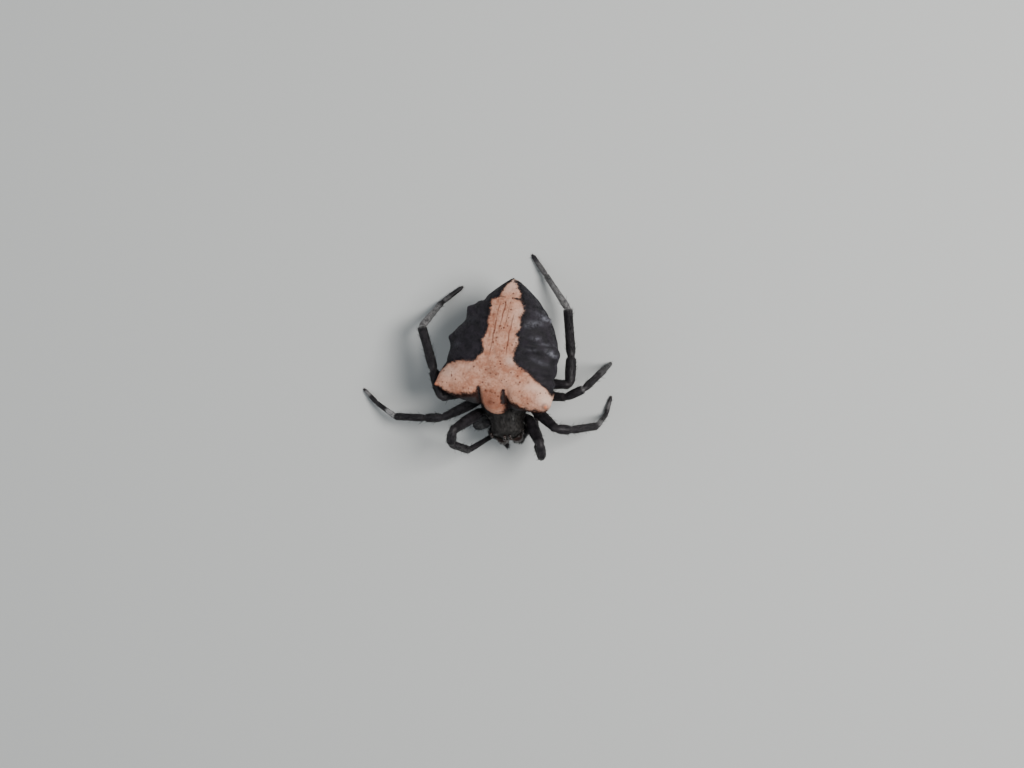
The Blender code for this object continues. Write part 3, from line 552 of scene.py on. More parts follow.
def makeAbdomen():
    points = abdomenRings()
    for centre, push, reach in abdomen["swellings"]:
        points = pushOut(points, centre, push, reach)
    points = notchFront(points)
    depth = crossDepthAt(points)
    normals = gridNormals(points)
    if np.mean(normals[..., 2] * points[..., 2]) < 0.0:
        normals = -normals
    x, y, z = points[..., 0], points[..., 1], points[..., 2]
    # soft folds across the flanks, outside the cross
    bent = y - 0.35 * np.abs(x) + 0.45 * np.sin(0.9 * x + 0.7 * y) + 0.3 * np.sin(1.7 * y - 0.6 * z)
    wave = np.sin(2.0 * math.pi * bent / abdomen["foldSpacing"]) * (0.6 + 0.4 * np.sin(1.1 * x + 0.8 * y + 1.0))
    outside = smoothStep(0.2, 1.4, -depth) * smoothStep(-5.5, -3.5, y) * smoothStep(10.5, 8.5, y)
    flank = outside * smoothStep(-5.0, -1.0, z)
    points = points + normals * (abdomen["foldHeight"] * flank * wave)[..., None]
    uneven = np.sin(x * 2.1 + 1.3 * np.sin(y * 1.7)) * np.sin(y * 1.9 + 0.7 * np.cos(x * 1.3))
    uneven = uneven + 0.45 * np.sin(x * 5.3 + 1.1 * np.sin(y * 3.1)) * np.sin(y * 4.7 + 0.9 * np.cos(x * 2.9))
    points = points + normals * (0.065 * uneven * smoothStep(-0.2, 0.6, depth))[..., None]
    for base, tip, reach, follow in abdomen["tips"]:
        gaps = np.linalg.norm(points - np.array(base), axis=-1)
        nearest = points.reshape(-1, 3)[np.argmin(gaps)]
        points = pushOut(points, nearest, (np.array(tip) - nearest) * follow, reach)
    # pale tail patch, plus painted highlights on the arm ends and along one edge of the stem
    paleAndHighlight = 0.55 * smoothStep(8.8, 10.2, y) + 0.45 * smoothStep(10.6, 11.3, y)
    for paleX, paleY, across, along, strength in cross["paleAndHighlightSpots"]:
        paleAndHighlight = paleAndHighlight + strength * np.exp(-((x - paleX) / across) ** 2 - ((y - paleY) / along) ** 2)
    rust = 0.85 * np.exp(-((x + 0.2) / 0.5) ** 2 - ((y + 7.1) / 0.5) ** 2)
    rust = np.maximum(rust, 0.35 * np.exp(-((x + 0.5) / 1.1) ** 2 - ((y + 2.5) / 0.9) ** 2))
    for notchX in (-2.25, 1.65):
        rust = np.maximum(rust, 0.6 * np.exp(-((x - notchX) / 0.4) ** 2 - ((y + 5.2) / 0.5) ** 2))
    for spotX, spotY, reach in cross["darkSpots"]:
        rust = np.maximum(rust, np.exp(-((x - spotX) / reach) ** 2 - ((y - spotY) / (1.3 * reach)) ** 2))
    # painted sheen along the flank folds
    paintedSheen = x * 0.0
    for place, reach, slant, strength in abdomen["paintedSheen"]:
        alongPatch, acrossPatch = x - place[0], y - place[1] - slant * (x - place[0])
        patch = np.exp(-(alongPatch / reach[0]) ** 2 - (acrossPatch / reach[1]) ** 2)
        paintedSheen = np.maximum(paintedSheen, strength * patch * smoothStep(0.5, 2.0, z))
    tipGap = np.min([np.linalg.norm(points - np.array(tip), axis=-1) for _, tip, _, _ in abdomen["tips"][:2]], axis=0)
    bead = np.exp(-(tipGap / 0.42) ** 4)
    ring = np.exp(-((tipGap - 0.62) / 0.16) ** 2)
    marks = {
        "crossDepth": depth,
        "abdomenPlace": points,
        "crossPale": np.clip(paleAndHighlight, 0.0, 1.0) * 0.85,
        "rustMark": np.clip(rust + 0.5 * ring, 0.0, 1.0) * 0.85,
        "tipBead": bead,
        "stemLines": smoothStep(1.9, 1.3, np.abs(x)) * smoothStep(-0.5, 1.0, y) * smoothStep(8.6, 7.8, y),
        "frontWall": smoothStep(-4.8, -6.2, y) * smoothStep(1.2, 2.6, z) * smoothStep(-0.3, -0.9, depth),
        "underArm": smoothStep(-4.3, -5.2, y) * smoothStep(2.0, 3.0, z) * smoothStep(-1.0, -0.4, depth),
        # painted sheen on the flanks, kept off the cross
        "flankBloom": np.clip(paintedSheen, 0.0, 1.0) * smoothStep(-0.2, -0.8, depth),
        "lobeShade": smoothStep(-4.6, -6.0, y) * smoothStep(2.6, 2.0, np.abs(x)) * smoothStep(-8.4, -7.6, y),
    }
    world = abdomenPlace(points)
    turned = turnMatrix(abdomen["turnDegrees"], "Z") @ turnMatrix(abdomen["rollDegrees"], "Y")
    tailward = np.array((0.0, 1.0, -0.15)) + 0.25 * np.stack([x, y * 0.0, y * 0.0], -1) / 8.0
    nudge = np.array((0.1, 0.0, 0.0)), np.array((0.0, 0.1, 0.0))
    slope = [crossDepthAt(points - step) - crossDepthAt(points + step) for step in nudge]
    outOfCross = unit(np.stack([slope[0], slope[1], y * 0.0], axis=-1))
    nearEdge = np.exp(-(depth / 0.5) ** 2)[..., None]
    lie = unit(tailward * (1.0 - nearEdge) + 1.2 * outOfCross * nearEdge)
    lie = lie - normals * np.sum(lie * normals, axis=-1, keepdims=True)
    marks["coatLie"] = unit(lie) @ turned.T
    marks["coatLength"] = np.full(x.shape, 1.0)
    marks["coatShare"] = 1.0 - bead
    marks["fringeShare"] = np.exp(-(depth / 0.3) ** 2) * (1.0 - bead)
    store = newStore()
    addLoft(store, world, marks)
    return makePiece("abdomen_skin", store, abdomenMaterial, ["abdomen"])


abdomenSkin = makeAbdomen()
print("abdomen made")


# Legs

legs = {
    "hips": {1: (6.7, 3.1), 2: (5.0, 3.7), 3: (3.3, 3.7), 4: (1.5, 3.2)},
    "lengths": {1: (6.9, 2.6, 6.7, 6.5, 2.8), 2: (7.4, 2.4, 6.05, 6.1, 2.75),
                3: (6.5, 3.2, 5.5, 4.05, 3.1), 4: (7.0, 4.35, 7.7, 7.0, 3.85)},
    # compass heading of each segment from +X toward +Y, and its slope, in degrees
    "pose": {
        (1, "right"): ((-147, 56, 80, 92, 98), (-69, 30, 0, -4)),
        (2, "right"): ((-135, -88, -22, 42, 140), (51, -30, -66, -41)),
        (3, "right"): ((-144, -166, -170, 158, 147), (-5, -26, -26, -26)),
        (4, "right"): ((-157, 118, 120, 66, 48), (31, -13, -28, -53)),
        (1, "left"): ((-47, -77, 145, 106, 113), (51, -34, -75, -23)),
        (2, "left"): ((-26, 5, 15, 65, 86), (44, -27, -54, -74)),
        (3, "left"): ((8, 36, 55, 60, 60), (28, 12, -46, -88)),
        (4, "left"): ((9, 99, 106.5, 136.5, 136), (10, -16, -21, -29)),
    },
    "hipRaise": {(2, "right"): 0.3},
    "tipHeight": 0.12, "tipReach": 0.2,
    "radii": {1: (0.93, 0.70, 0.62, 0.42, 0.34), 2: (0.84, 0.72, 0.62, 0.44, 0.35),
              3: (0.76, 0.66, 0.58, 0.44, 0.36), 4: (0.82, 0.80, 0.74, 0.55, 0.41)},
    "swell": (
        ((0.0, 0.9), (0.35, 1.0), (0.7, 0.94), (1.0, 0.86)),
        ((0.0, 0.66), (0.1, 0.84), (0.32, 1.0), (0.62, 0.94), (0.86, 0.80), (0.95, 0.84), (1.0, 0.76)),
        ((0.0, 0.8), (0.3, 1.0), (0.7, 1.0), (0.92, 0.92), (1.0, 0.84)),
        ((0.0, 0.78), (0.12, 0.96), (0.5, 0.92), (0.85, 0.94), (0.95, 0.95), (1.0, 0.84)),
        ((0.0, 0.86), (0.1, 1.0), (0.5, 0.86), (0.88, 0.80), (0.95, 0.84), (1.0, 0.74)),
        ((0.0, 0.88), (0.2, 1.0), (0.7, 0.86), (0.93, 0.80), (1.0, 0.50))),
    "segmentNames": ("coxa", "femur", "patella", "tibia", "metatarsus", "tarsus"),
    "sides": 22, "rowsPerSegment": 20, "rowsPerJoint": 7, "jointDip": 0.80,
    # pale bands, partly pale hair and partly painted highlight where light catches the legs: segment, start, end and
    # strength along each leg
    "pale": {
        (4, "right"): ((3, 0.95, 1.1, 0.7), (4, 0.0, 0.85, 0.45), (5, 0.1, 0.4, 0.25)),
        (3, "right"): ((4, -0.1, 0.45, 0.8), (5, 0.5, 0.9, 0.5)),
        (2, "right"): (),
        (1, "right"): ((4, 0.1, 0.5, 0.5),),
        (4, "left"): ((3, 0.96, 1.1, 0.8), (4, -0.1, 0.7, 0.52), (4, 0.7, 1.1, 0.3), (5, -0.1, 0.7, 0.25)),
        (3, "left"): ((2, 0.95, 1.1, 0.2), (3, 0.7, 0.95, 0.12)),
        (2, "left"): ((4, -0.05, 0.35, 0.3), (5, 0.3, 0.7, 0.25)),
        (1, "left"): ((4, 0.1, 0.5, 0.5),),
    },
}


def legJoints(pair, side):
    sign = 1.0 if side == "left" else -1.0
    along, across = legs["hips"][pair]
    headings, slopes = legs["pose"][(pair, side)]
    rootHeight = prosoma["coxaHeight"] - 0.15
    joints = [prosomaPlace((sign * prosoma["coxaInner"], -along, rootHeight))]
    raised = prosoma["coxaHeight"] + legs["hipRaise"].get((pair, side), 0.0)
    joints.append(prosomaPlace((sign * across, -along, raised)))
    for number, (heading, length) in enumerate(zip(headings, legs["lengths"][pair])):
        start = joints[-1]
        if number < len(slopes):
            slope = math.radians(slopes[number])
        else:
            slope = math.asin((legs["tipHeight"] - start[2]) / length)
        turn = math.radians(heading)
        step = (math.cos(slope) * math.cos(turn), math.cos(slope) * math.sin(turn), math.sin(slope))
        joints.append(start + length * np.array(step))
    return joints


def legPath(pair, side):
    # points along the leg with each bend rounded, with radius, segment number and place in it
    joints = legJoints(pair, side)
    radii = (prosoma["coxaRadius"],) + legs["radii"][pair]
    axes = [unit(b - a) for a, b in zip(joints, joints[1:])]
    lengths = [np.linalg.norm(b - a) for a, b in zip(joints, joints[1:])]
    rows = []
    for number, (start, axis, length) in enumerate(zip(joints, axes, lengths)):
        radius, swell = radii[number], legs["swell"][number]
        bend = 0.55 * radius
        first = 0.0 if number == 0 else bend / length
        last = 1.0 - bend / length if number < len(axes) - 1 else 1.0
        for share in np.linspace(first, last, legs["rowsPerSegment"]):
            rows.append((start + axis * length * share, radius * smoothCurve(swell, share), number, share, 0.0))
        if number == len(axes) - 1:
            break
        corner = joints[number + 1]
        nextRadius, nextSwell = radii[number + 1], legs["swell"][number + 1]
        nextBend = 0.55 * nextRadius
        before, after = corner - axis * bend, corner + axes[number + 1] * nextBend
        lowRadius = radius * smoothCurve(swell, last)
        highRadius = nextRadius * smoothCurve(nextSwell, nextBend / lengths[number + 1])
        for share in np.linspace(0.0, 1.0, legs["rowsPerJoint"] + 2)[1:-1]:
            place = before * (1 - share) ** 2 + corner * 2 * share * (1 - share) + after * share ** 2
            dip = 1.0 - (1.0 - legs["jointDip"]) * math.sin(math.pi * share)
            radiusHere = (lowRadius * (1 - share) + highRadius * share) * dip
            here = (number, 1.0) if share < 0.5 else (number + 1, 0.0)
            rows.append((place, radiusHere, *here, math.sin(math.pi * share)))
    tipRadius = rows[-1][1]
    for share in (0.35, 0.7, 0.9, 1.0):
        place = joints[-1] + axes[-1] * legs["tipReach"] * share
        rows.append((place, tipRadius * math.sqrt(max(0.02, 1.0 - share ** 2)), len(axes) - 1, 1.0, 0.0))
    return rows


def paleAt(pair, side, segment, share):
    value = 0.0
    for number, start, end, strength in legs["pale"][(pair, side)]:
        if number == segment:
            low = smoothStep(start - 0.04, start + 0.04, np.array(share))
            high = smoothStep(end + 0.06, end - 0.06, np.array(share))
            value = max(value, float(low * high) * strength)
    return value


def makeLeg(pair, side, tileNumber):
    rows = legPath(pair, side)
    points = np.array([row[0] for row in rows])
    radii = np.array([row[1] for row in rows])
    rings, tangents = tubeRings(points, radii, legs["sides"])
    rings[..., 2] = np.maximum(rings[..., 2], 0.01)
    shape = rings.shape[:2]
    outward = unit(rings - points[:, None, :])
    pale = np.array([paleAt(pair, side, row[2], row[3]) for row in rows])[:, None]
    # pale bands painted paler on the top of each leg, a painted highlight
    litTop = smoothStep(-0.9, 0.3, outward[..., 2])
    joint = np.array([row[4] for row in rows])[:, None] * np.ones(shape)
    segment = np.array([row[2] for row in rows])[:, None] * np.ones(shape)
    lengthBySegment = np.array((0.7, 1.0, 0.95, 1.0, 0.9, 0.65))
    share = np.where(segment < 1, 0.5, 1.0) * (1.0 - 0.8 * joint)
    marks = {
        "legPale": pale * (0.25 + 0.75 * litTop), "jointSkin": joint,
        "coatLie": np.broadcast_to(tangents[:, None, :], shape + (3,)),
        "coatLength": lengthBySegment[segment.astype(int)], "coatShare": share,
    }
    store = newStore()
    column, line = tileNumber % 4, tileNumber // 4
    addLoft(store, rings, marks, (0.02 + column * 0.245, 0.02 + line * 0.49, 0.22, 0.46))
    nodes = [f"leg_{pair}_{side}_{name}" for name in legs["segmentNames"]]
    return makePiece(f"leg_{pair}_{side}_skin", store, legMaterial, nodes)


legSkins = []
for side in ("left", "right"):
    for pair in legs["hips"]:
        legSkins.append(makeLeg(pair, side, len(legSkins)))
print("legs made:", len(legSkins))


# Carapace, eyes and the soft body under it

head = {
    "length": 9.6, "halfWidth": 3.6, "underside": 8.42, "top": 11.1,
    "widths": ((0.0, 0.36), (1.2, 0.78), (3.4, 1.0), (5.2, 0.9), (6.6, 0.7), (8.2, 0.68), (9.6, 0.6)),
    "tops": ((0.0, 0.35), (1.6, 0.78), (3.2, 0.9), (5.2, 1.0), (7.6, 1.0), (9.0, 0.92), (9.6, 0.72)),
    "rows": 120, "sides": 128,
    # eyes: across, along, height, radius, alike on both sides
    "eyes": ((0.46, 9.45, 10.15, 0.30), (0.4, 9.05, 10.85, 0.28), (2.35, 8.85, 10.1, 0.22), (2.4, 8.5, 10.35, 0.20)),
}


def carapacePoints():
    tilt = math.pi * (np.arange(head["rows"]) + 0.5) / head["rows"]
    angle = 2.0 * math.pi * np.arange(head["sides"]) / head["sides"] - math.pi / 2.0
    lengthwise, ring = np.cos(tilt), np.sin(tilt)
    along = head["length"] * (0.5 - 0.5 * lengthwise)
    roundness = np.where(np.abs(lengthwise) > 0.6, np.minimum(1.0, ring * 1.5), 1.0)[:, None]
    halfWidth = head["halfWidth"] * curveOver(head["widths"], along)[:, None] * roundness
    rise = (head["top"] - head["underside"]) * curveOver(head["tops"], along)[:, None] * roundness
    side, up = np.cos(angle)[None, :], np.sin(angle)[None, :]
    height = np.where(up > 0.0, rise * np.abs(up) ** 0.8, 0.25 * up)
    alongAll = np.broadcast_to(along[:, None], height.shape)
    groove = 0.5 * np.exp(-((alongAll - 3.4) / 1.3) ** 2 - (side * halfWidth / 0.5) ** 2)
    radial = sum(0.14 * np.exp(-((alongAll - start - 0.55 * np.abs(side) * halfWidth * lean) / 0.34) ** 2)
                 for start, lean in ((5.6, 0.6), (4.3, 0.2), (3.0, -0.3), (1.9, -0.6)))
    height = height - np.where(up > 0.2, groove + radial * smoothStep(0.2, 0.7, np.abs(side)), 0.0)
    width = halfWidth * np.sign(side) * np.abs(side) ** 0.85
    points = np.stack([width, -alongAll, head["underside"] + 0.25 + height], axis=-1)
    points = pushOut(points, (0.0, -9.35, 10.5), (0.0, -0.28, 0.12), 0.85)
    for sign in (1.0, -1.0):
        points = pushOut(points, (sign * 2.25, -8.7, 10.2), (sign * 0.16, -0.2, 0.08), 0.5)
        points = pushOut(points, (sign * 1.5, -6.6, 10.9), (0.0, 0.0, 0.22), 1.2)
    return points


def makeCarapace():
    local = carapacePoints()
    world = prosomaPlace(local)
    normals = gridNormals(world)
    if np.mean(normals[..., 2] * (local[..., 2] - 9.0)) < 0.0:
        normals = -normals
    along = -local[..., 1]
    back = -forward * np.ones(world.shape)
    lie = back + leftward * np.sign(local[..., :1]) * 0.15
    lie = unit(lie - normals * np.sum(lie * normals, axis=-1, keepdims=True))
    face = smoothStep(8.3, 9.2, along) * smoothStep(10.6, 9.4, local[..., 2])
    marks = {"coatLie": lie, "coatLength": 0.75 + 0.25 * face, "facePale": face,
             "coatShare": 1.0 - 0.5 * np.exp(-((along - 3.4) / 1.3) ** 2)}
    store = newStore()
    addLoft(store, world, marks)
    return makePiece("carapace_shell", store, carapaceMaterial, ["carapace"])


def sphereRings(centre, radius, rows=14, sides=20, squash=(1.0, 1.0, 1.0)):
    tilt = math.pi * (np.arange(rows) + 0.5) / rows
    angle = 2.0 * math.pi * np.arange(sides) / sides
    ring = np.sin(tilt)[:, None]
    ball = np.stack([ring * np.cos(angle), ring * np.sin(angle), np.cos(tilt)[:, None] * np.ones(sides)], -1)
    return np.array(centre) + ball * radius * np.array(squash)


def makeEyes():
    store = newStore()
    for across, along, height, radius in head["eyes"]:
        for sign in (1.0, -1.0):
            addLoft(store, prosomaPlace(sphereRings((sign * across, -along, height), radius)))
    return makePiece("eyes", store, eyeMaterial)


def makeSoftBody():
    # flesh between the carapace, the sternum and the hips, and the waist
    store = newStore()
    along = np.linspace(0.6, 9.0, 60)
    widths = head["halfWidth"] * curveOver(head["widths"], along) * 0.78
    ends = np.sqrt(np.clip(1.0 - ((along - 4.8) / 4.3) ** 2, 0.02, 1.0))
    angle = 2.0 * math.pi * np.arange(40) / 40
    rings = np.stack([np.outer(widths * ends ** 0.5, np.cos(angle)), -along[:, None] * np.ones(40),
                      7.75 + np.outer(ends, 1.0 * np.sin(angle))], axis=-1)
    plain = {"legPale": rings[..., 0] * 0.0, "jointSkin": rings[..., 0] * 0.0 + 0.7}
    addLoft(store, prosomaPlace(rings), plain)
    start = prosomaPlace((0.0, 0.2, 9.1)) - forward * -0.6
    end = abdomenPlace((0.0, -0.6, -1.3))
    route = [start * (1 - t) + end * t for t in np.linspace(0.0, 1.0, 16)]
    radii = 0.62 + 0.22 * np.abs(np.linspace(-1.0, 1.0, 16)) ** 2
    rings, _ = tubeRings(route, radii, 24)
    plain = {"legPale": rings[..., 0] * 0.0, "jointSkin": rings[..., 0] * 0.0 + 0.7}
    addLoft(store, rings, plain)
    return makePiece("waist_and_pleura", store, legMaterial, ["pedicel"])


def makeSternum():
    store = newStore()
    rings = sphereRings((0.0, -4.4, 6.75), 1.0, 40, 48, (1.12, 3.3, 0.95))
    rings = rings[:, :, :]
    spread = 1.0 + 0.35 * np.cos((rings[..., 1] + 4.4) * 1.9) ** 2 * smoothStep(3.4, 2.4, np.abs(rings[..., 1] + 4.4))
    rings[..., 0] *= spread * 1.25
    rings[..., 2] = 6.75 + (rings[..., 2] - 6.75) * 0.98
    addLoft(store, prosomaPlace(rings))
    return makePiece("sternum_shell", store, carapaceMaterial, ["sternum"])


carapaceShell = makeCarapace()
eyes = makeEyes()
softBody = makeSoftBody()
sternumShell = makeSternum()
print("head made")


# Jaws, palps, spinnerets and claws

jaws = {
    "stations": ((7.98, 0.56), (7.7, 0.84), (6.9, 0.92), (5.9, 0.84), (5.3, 0.6), (5.12, 0.3)),
    "across": 1.12, "along": 9.15, "stepAlong": 0.18, "stepDown": 0.67,
    "fangRoot": (1.1, 9.7, 5.55), "fangBend": (1.0, 9.95, 4.9), "fangTip": (0.55, 9.2, 4.75), "fangRadius": 0.3,
}


def makeJaw(side):
    sign = 1.0 if side == "left" else -1.0
    high, low = jaws["stations"][0][0], jaws["stations"][-1][0]
    heights = np.linspace(high, low, 44)
    stations = tuple((-height, radius) for height, radius in jaws["stations"])
    steps = (high - heights) / jaws["stepDown"]
    places = (sign * (jaws["across"] - 0.02 * steps), -jaws["along"] - jaws["stepAlong"] * steps, heights)
    points = np.stack(places, axis=-1)
    radii = curveOver(stations, -heights)
    rings, _ = tubeRings(prosomaPlace(points), radii, 32)
    pale = np.ones(rings.shape[:2])
    marks = {"coatLie": np.broadcast_to((0.0, 0.0, -1.0), rings.shape) + forward * 0.2,
             "coatLength": pale * 0.9, "facePale": pale * 0.8, "coatShare": pale}
    store = newStore()
    addLoft(store, rings, marks)
    jaw = makePiece(f"chelicera_{side}_shell", store, jawMaterial, [f"chelicera_{side}"])
    store = newStore()
    root, bend, tip = (np.array((sign * jaws[key][0], -jaws[key][1], jaws[key][2]))
                       for key in ("fangRoot", "fangBend", "fangTip"))
    shares = np.linspace(0.0, 1.0, 20)[:, None]
    route = root * (1 - shares) ** 2 + bend * 2 * shares * (1 - shares) + tip * shares ** 2
    radii = jaws["fangRadius"] * (1.0 - 0.93 * shares[:, 0] ** 1.2)
    rings, _ = tubeRings(prosomaPlace(route), radii, 14)
    addLoft(store, rings)
    makePiece(f"fang_{side}", store, clawMaterial)
    return jaw


palps = {
    "route": ((2.3, 7.9, 6.2, 0.4, 0.0), (2.8, 8.35, 6.3, 0.46, 0.0), (2.65, 8.85, 5.3, 0.46, 0.0),
              (1.95, 9.4, 4.35, 0.46, 0.2), (1.3, 10.15, 3.85, 0.42, 0.6), (0.75, 11.2, 3.75, 0.24, 1.0)),
    "tip": {"left": (-0.4, 0.5), "right": (0.0, 0.0)},
}


def makePalp(side):
    sign = 1.0 if side == "left" else -1.0
    inward, back = palps["tip"][side]
    knots = [(sign * (across - inward * share), back * share - along, height, radius)
             for across, along, height, radius, share in palps["route"]]
    rows = []
    for at in np.linspace(0.0, len(knots) - 1.0, 66):
        column = [tuple((k, knot[axis]) for k, knot in enumerate(knots)) for axis in range(4)]
        rows.append([smoothCurve(values, at) for values in column])
    rows = np.array(rows)
    at = np.linspace(0.0, len(knots) - 1.0, 66)
    joint = sum(np.exp(-((at - place) / 0.09) ** 2) for place in (1.0, 2.0, 3.0, 4.0))
    radii = rows[:, 3] * (1.0 - 0.16 * joint)
    radii[-3:] *= np.array((0.85, 0.6, 0.2))
    rings, tangents = tubeRings(prosomaPlace(rows[:, :3]), radii, 20)
    shape = rings.shape[:2]
    marks = {"coatLie": np.broadcast_to(tangents[:, None, :], shape + (3,)), "coatLength": np.ones(shape) * 0.9,
             "legPale": np.zeros(shape), "jointSkin": joint[:, None] * np.ones(shape), "coatShare": np.ones(shape)}
    store = newStore()
    tileLeft = 0.05 if side == "left" else 0.55
    addLoft(store, rings, marks, (tileLeft, 0.05, 0.4, 0.9))
    return makePiece(f"palp_{side}_skin", store, legMaterial, [f"palp_{side}"])


spinning = {"at": 6.3, "step": 0.2, "sink": 0.32, "fingers": (
    (0.48, 0.42, 1.5, 0.42), (0.42, -0.45, 1.35, 0.36), (0.12, 0.0, 1.05, 0.2))}


def makeSpinnerets():
    at, step = spinning["at"], spinning["step"]
    low = np.array((0.0, at - step, smoothCurve(abdomen["belly"], at - step)))
    high = np.array((0.0, at + step, smoothCurve(abdomen["belly"], at + step)))
    tangent = unit(high - low)
    outward = np.array((0.0, tangent[2], -tangent[1]))
    root = (low + high) / 2.0
    across = np.array((1.0, 0.0, 0.0))
    store = newStore()

    def placed(local):
        spread = local[..., :1] * across + local[..., 1:2] * tangent + local[..., 2:] * outward
        return abdomenPlace(root + spread)

    def addFinger(start, end, radius, taper):
        shares = np.linspace(0.0, 1.0, 18)[:, None]
        route = placed(np.array(start) * (1 - shares) + np.array(end) * shares)
        radii = radius * (1.0 - taper * shares[:, 0]) * np.sqrt(np.clip(1.02 - shares[:, 0] ** 6, 0.02, 1.0))
        rings, _ = tubeRings(route, radii, 18)
        addLoft(store, rings, {"legPale": rings[..., 0] * 0.0, "jointSkin": rings[..., 0] * 0.0})

    collar = sphereRings((0.0, 0.0, 0.1), 1.0, 16, 30, (1.12, 1.12, 0.62))
    addLoft(store, placed(collar), {"legPale": collar[..., 0] * 0.0, "jointSkin": collar[..., 0] * 0.0 + 0.5})
    for side, along, reach, radius in spinning["fingers"]:
        for sign in (1.0, -1.0):
            addFinger((sign * side, along, 0.1), (sign * side * 1.25, along * 1.3, reach), radius, 0.45)
    addFinger((0.0, 0.75, 0.1), (0.0, 1.15, 0.85), 0.34, 0.6)
    return makePiece("spinneret_cluster", store, legMaterial, ["spinnerets"])


claws = {"length": 0.42, "radius": 0.055, "spread": 0.16, "drop": 0.16}


def makeClaws():
    store = newStore()
    for side in ("left", "right"):
        for pair in legs["hips"]:
            joints = legJoints(pair, side)
            tip, axis = joints[-1], unit(joints[-1] - joints[-2])
            flat = unit(axis * np.array((1.0, 1.0, 0.0)))
            across = np.cross(flat, upward)
            for sign in (1.0, -1.0):
                start = tip + across * sign * claws["spread"] * 0.5 + upward * 0.08 - flat * 0.1
                bend = start + flat * claws["length"] * 0.7 + upward * 0.12 + across * sign * 0.05
                end = start + flat * claws["length"] + across * sign * 0.06
                end[2] = 0.02
                shares = np.linspace(0.0, 1.0, 12)[:, None]
                route = start * (1 - shares) ** 2 + bend * 2 * shares * (1 - shares) + end * shares ** 2
                rings, _ = tubeRings(route, claws["radius"] * (1.0 - 0.85 * shares[:, 0]), 8)
                rings[..., 2] = np.maximum(rings[..., 2], 0.0)
                addLoft(store, rings)
    return makePiece("claws", store, clawMaterial)


jawPieces = [makeJaw(side) for side in ("left", "right")]
palpPieces = [makePalp(side) for side in ("left", "right")]
spinnerets = makeSpinnerets()
clawPiece = makeClaws()
print("jaws, palps, spinnerets and claws made")


# Coats of hair, each grown over its skin by one node tree

def addInput(tree, name, kind, value=None):
    socket = tree.interface.new_socket(name=name, in_out="INPUT", socket_type=kind)
    if value is not None:
        socket.default_value = value
    return socket


def named(tree, kind, nameSocket):
    node = put(tree, "GeometryNodeInputNamedAttribute", data_type=kind)
    if isinstance(nameSocket, str):
        node.inputs["Name"].default_value = nameSocket
    else:
        tree.links.new(nameSocket, node.inputs["Name"])
    return livingSocket(node.outputs, "Attribute")


def vectorOf(tree, operation, first, second=None, scale=None):
    node = put(tree, "ShaderNodeVectorMath", operation=operation)
    for socket, value in ((node.inputs[0], first), (node.inputs[1], second), (node.inputs[3], scale)):
        if isinstance(value, bpy.types.NodeSocket):
            tree.links.new(value, socket)
        elif value is not None:
            socket.default_value = value
    return node.outputs[0]


def randomOf(tree, low, high, seed, kind="FLOAT"):
    values = {"Min": low, "Max": high, "Seed": seed}
    node = put(tree, "FunctionNodeRandomValue", data_type=kind)
    for name, value in values.items():
        socket = livingSocket(node.inputs, name)
        if isinstance(value, bpy.types.NodeSocket):
            tree.links.new(value, socket)
        else:
            socket.default_value = value
    return livingSocket(node.outputs, "Value")


def storeOf(tree, geometry, name, value, kind, domain):
    node = put(tree, "GeometryNodeStoreNamedAttribute", {"Geometry": geometry, "Name": name},
               data_type=kind, domain=domain)
    tree.links.new(value, livingSocket(node.inputs, "Value"))
    return node.outputs["Geometry"]


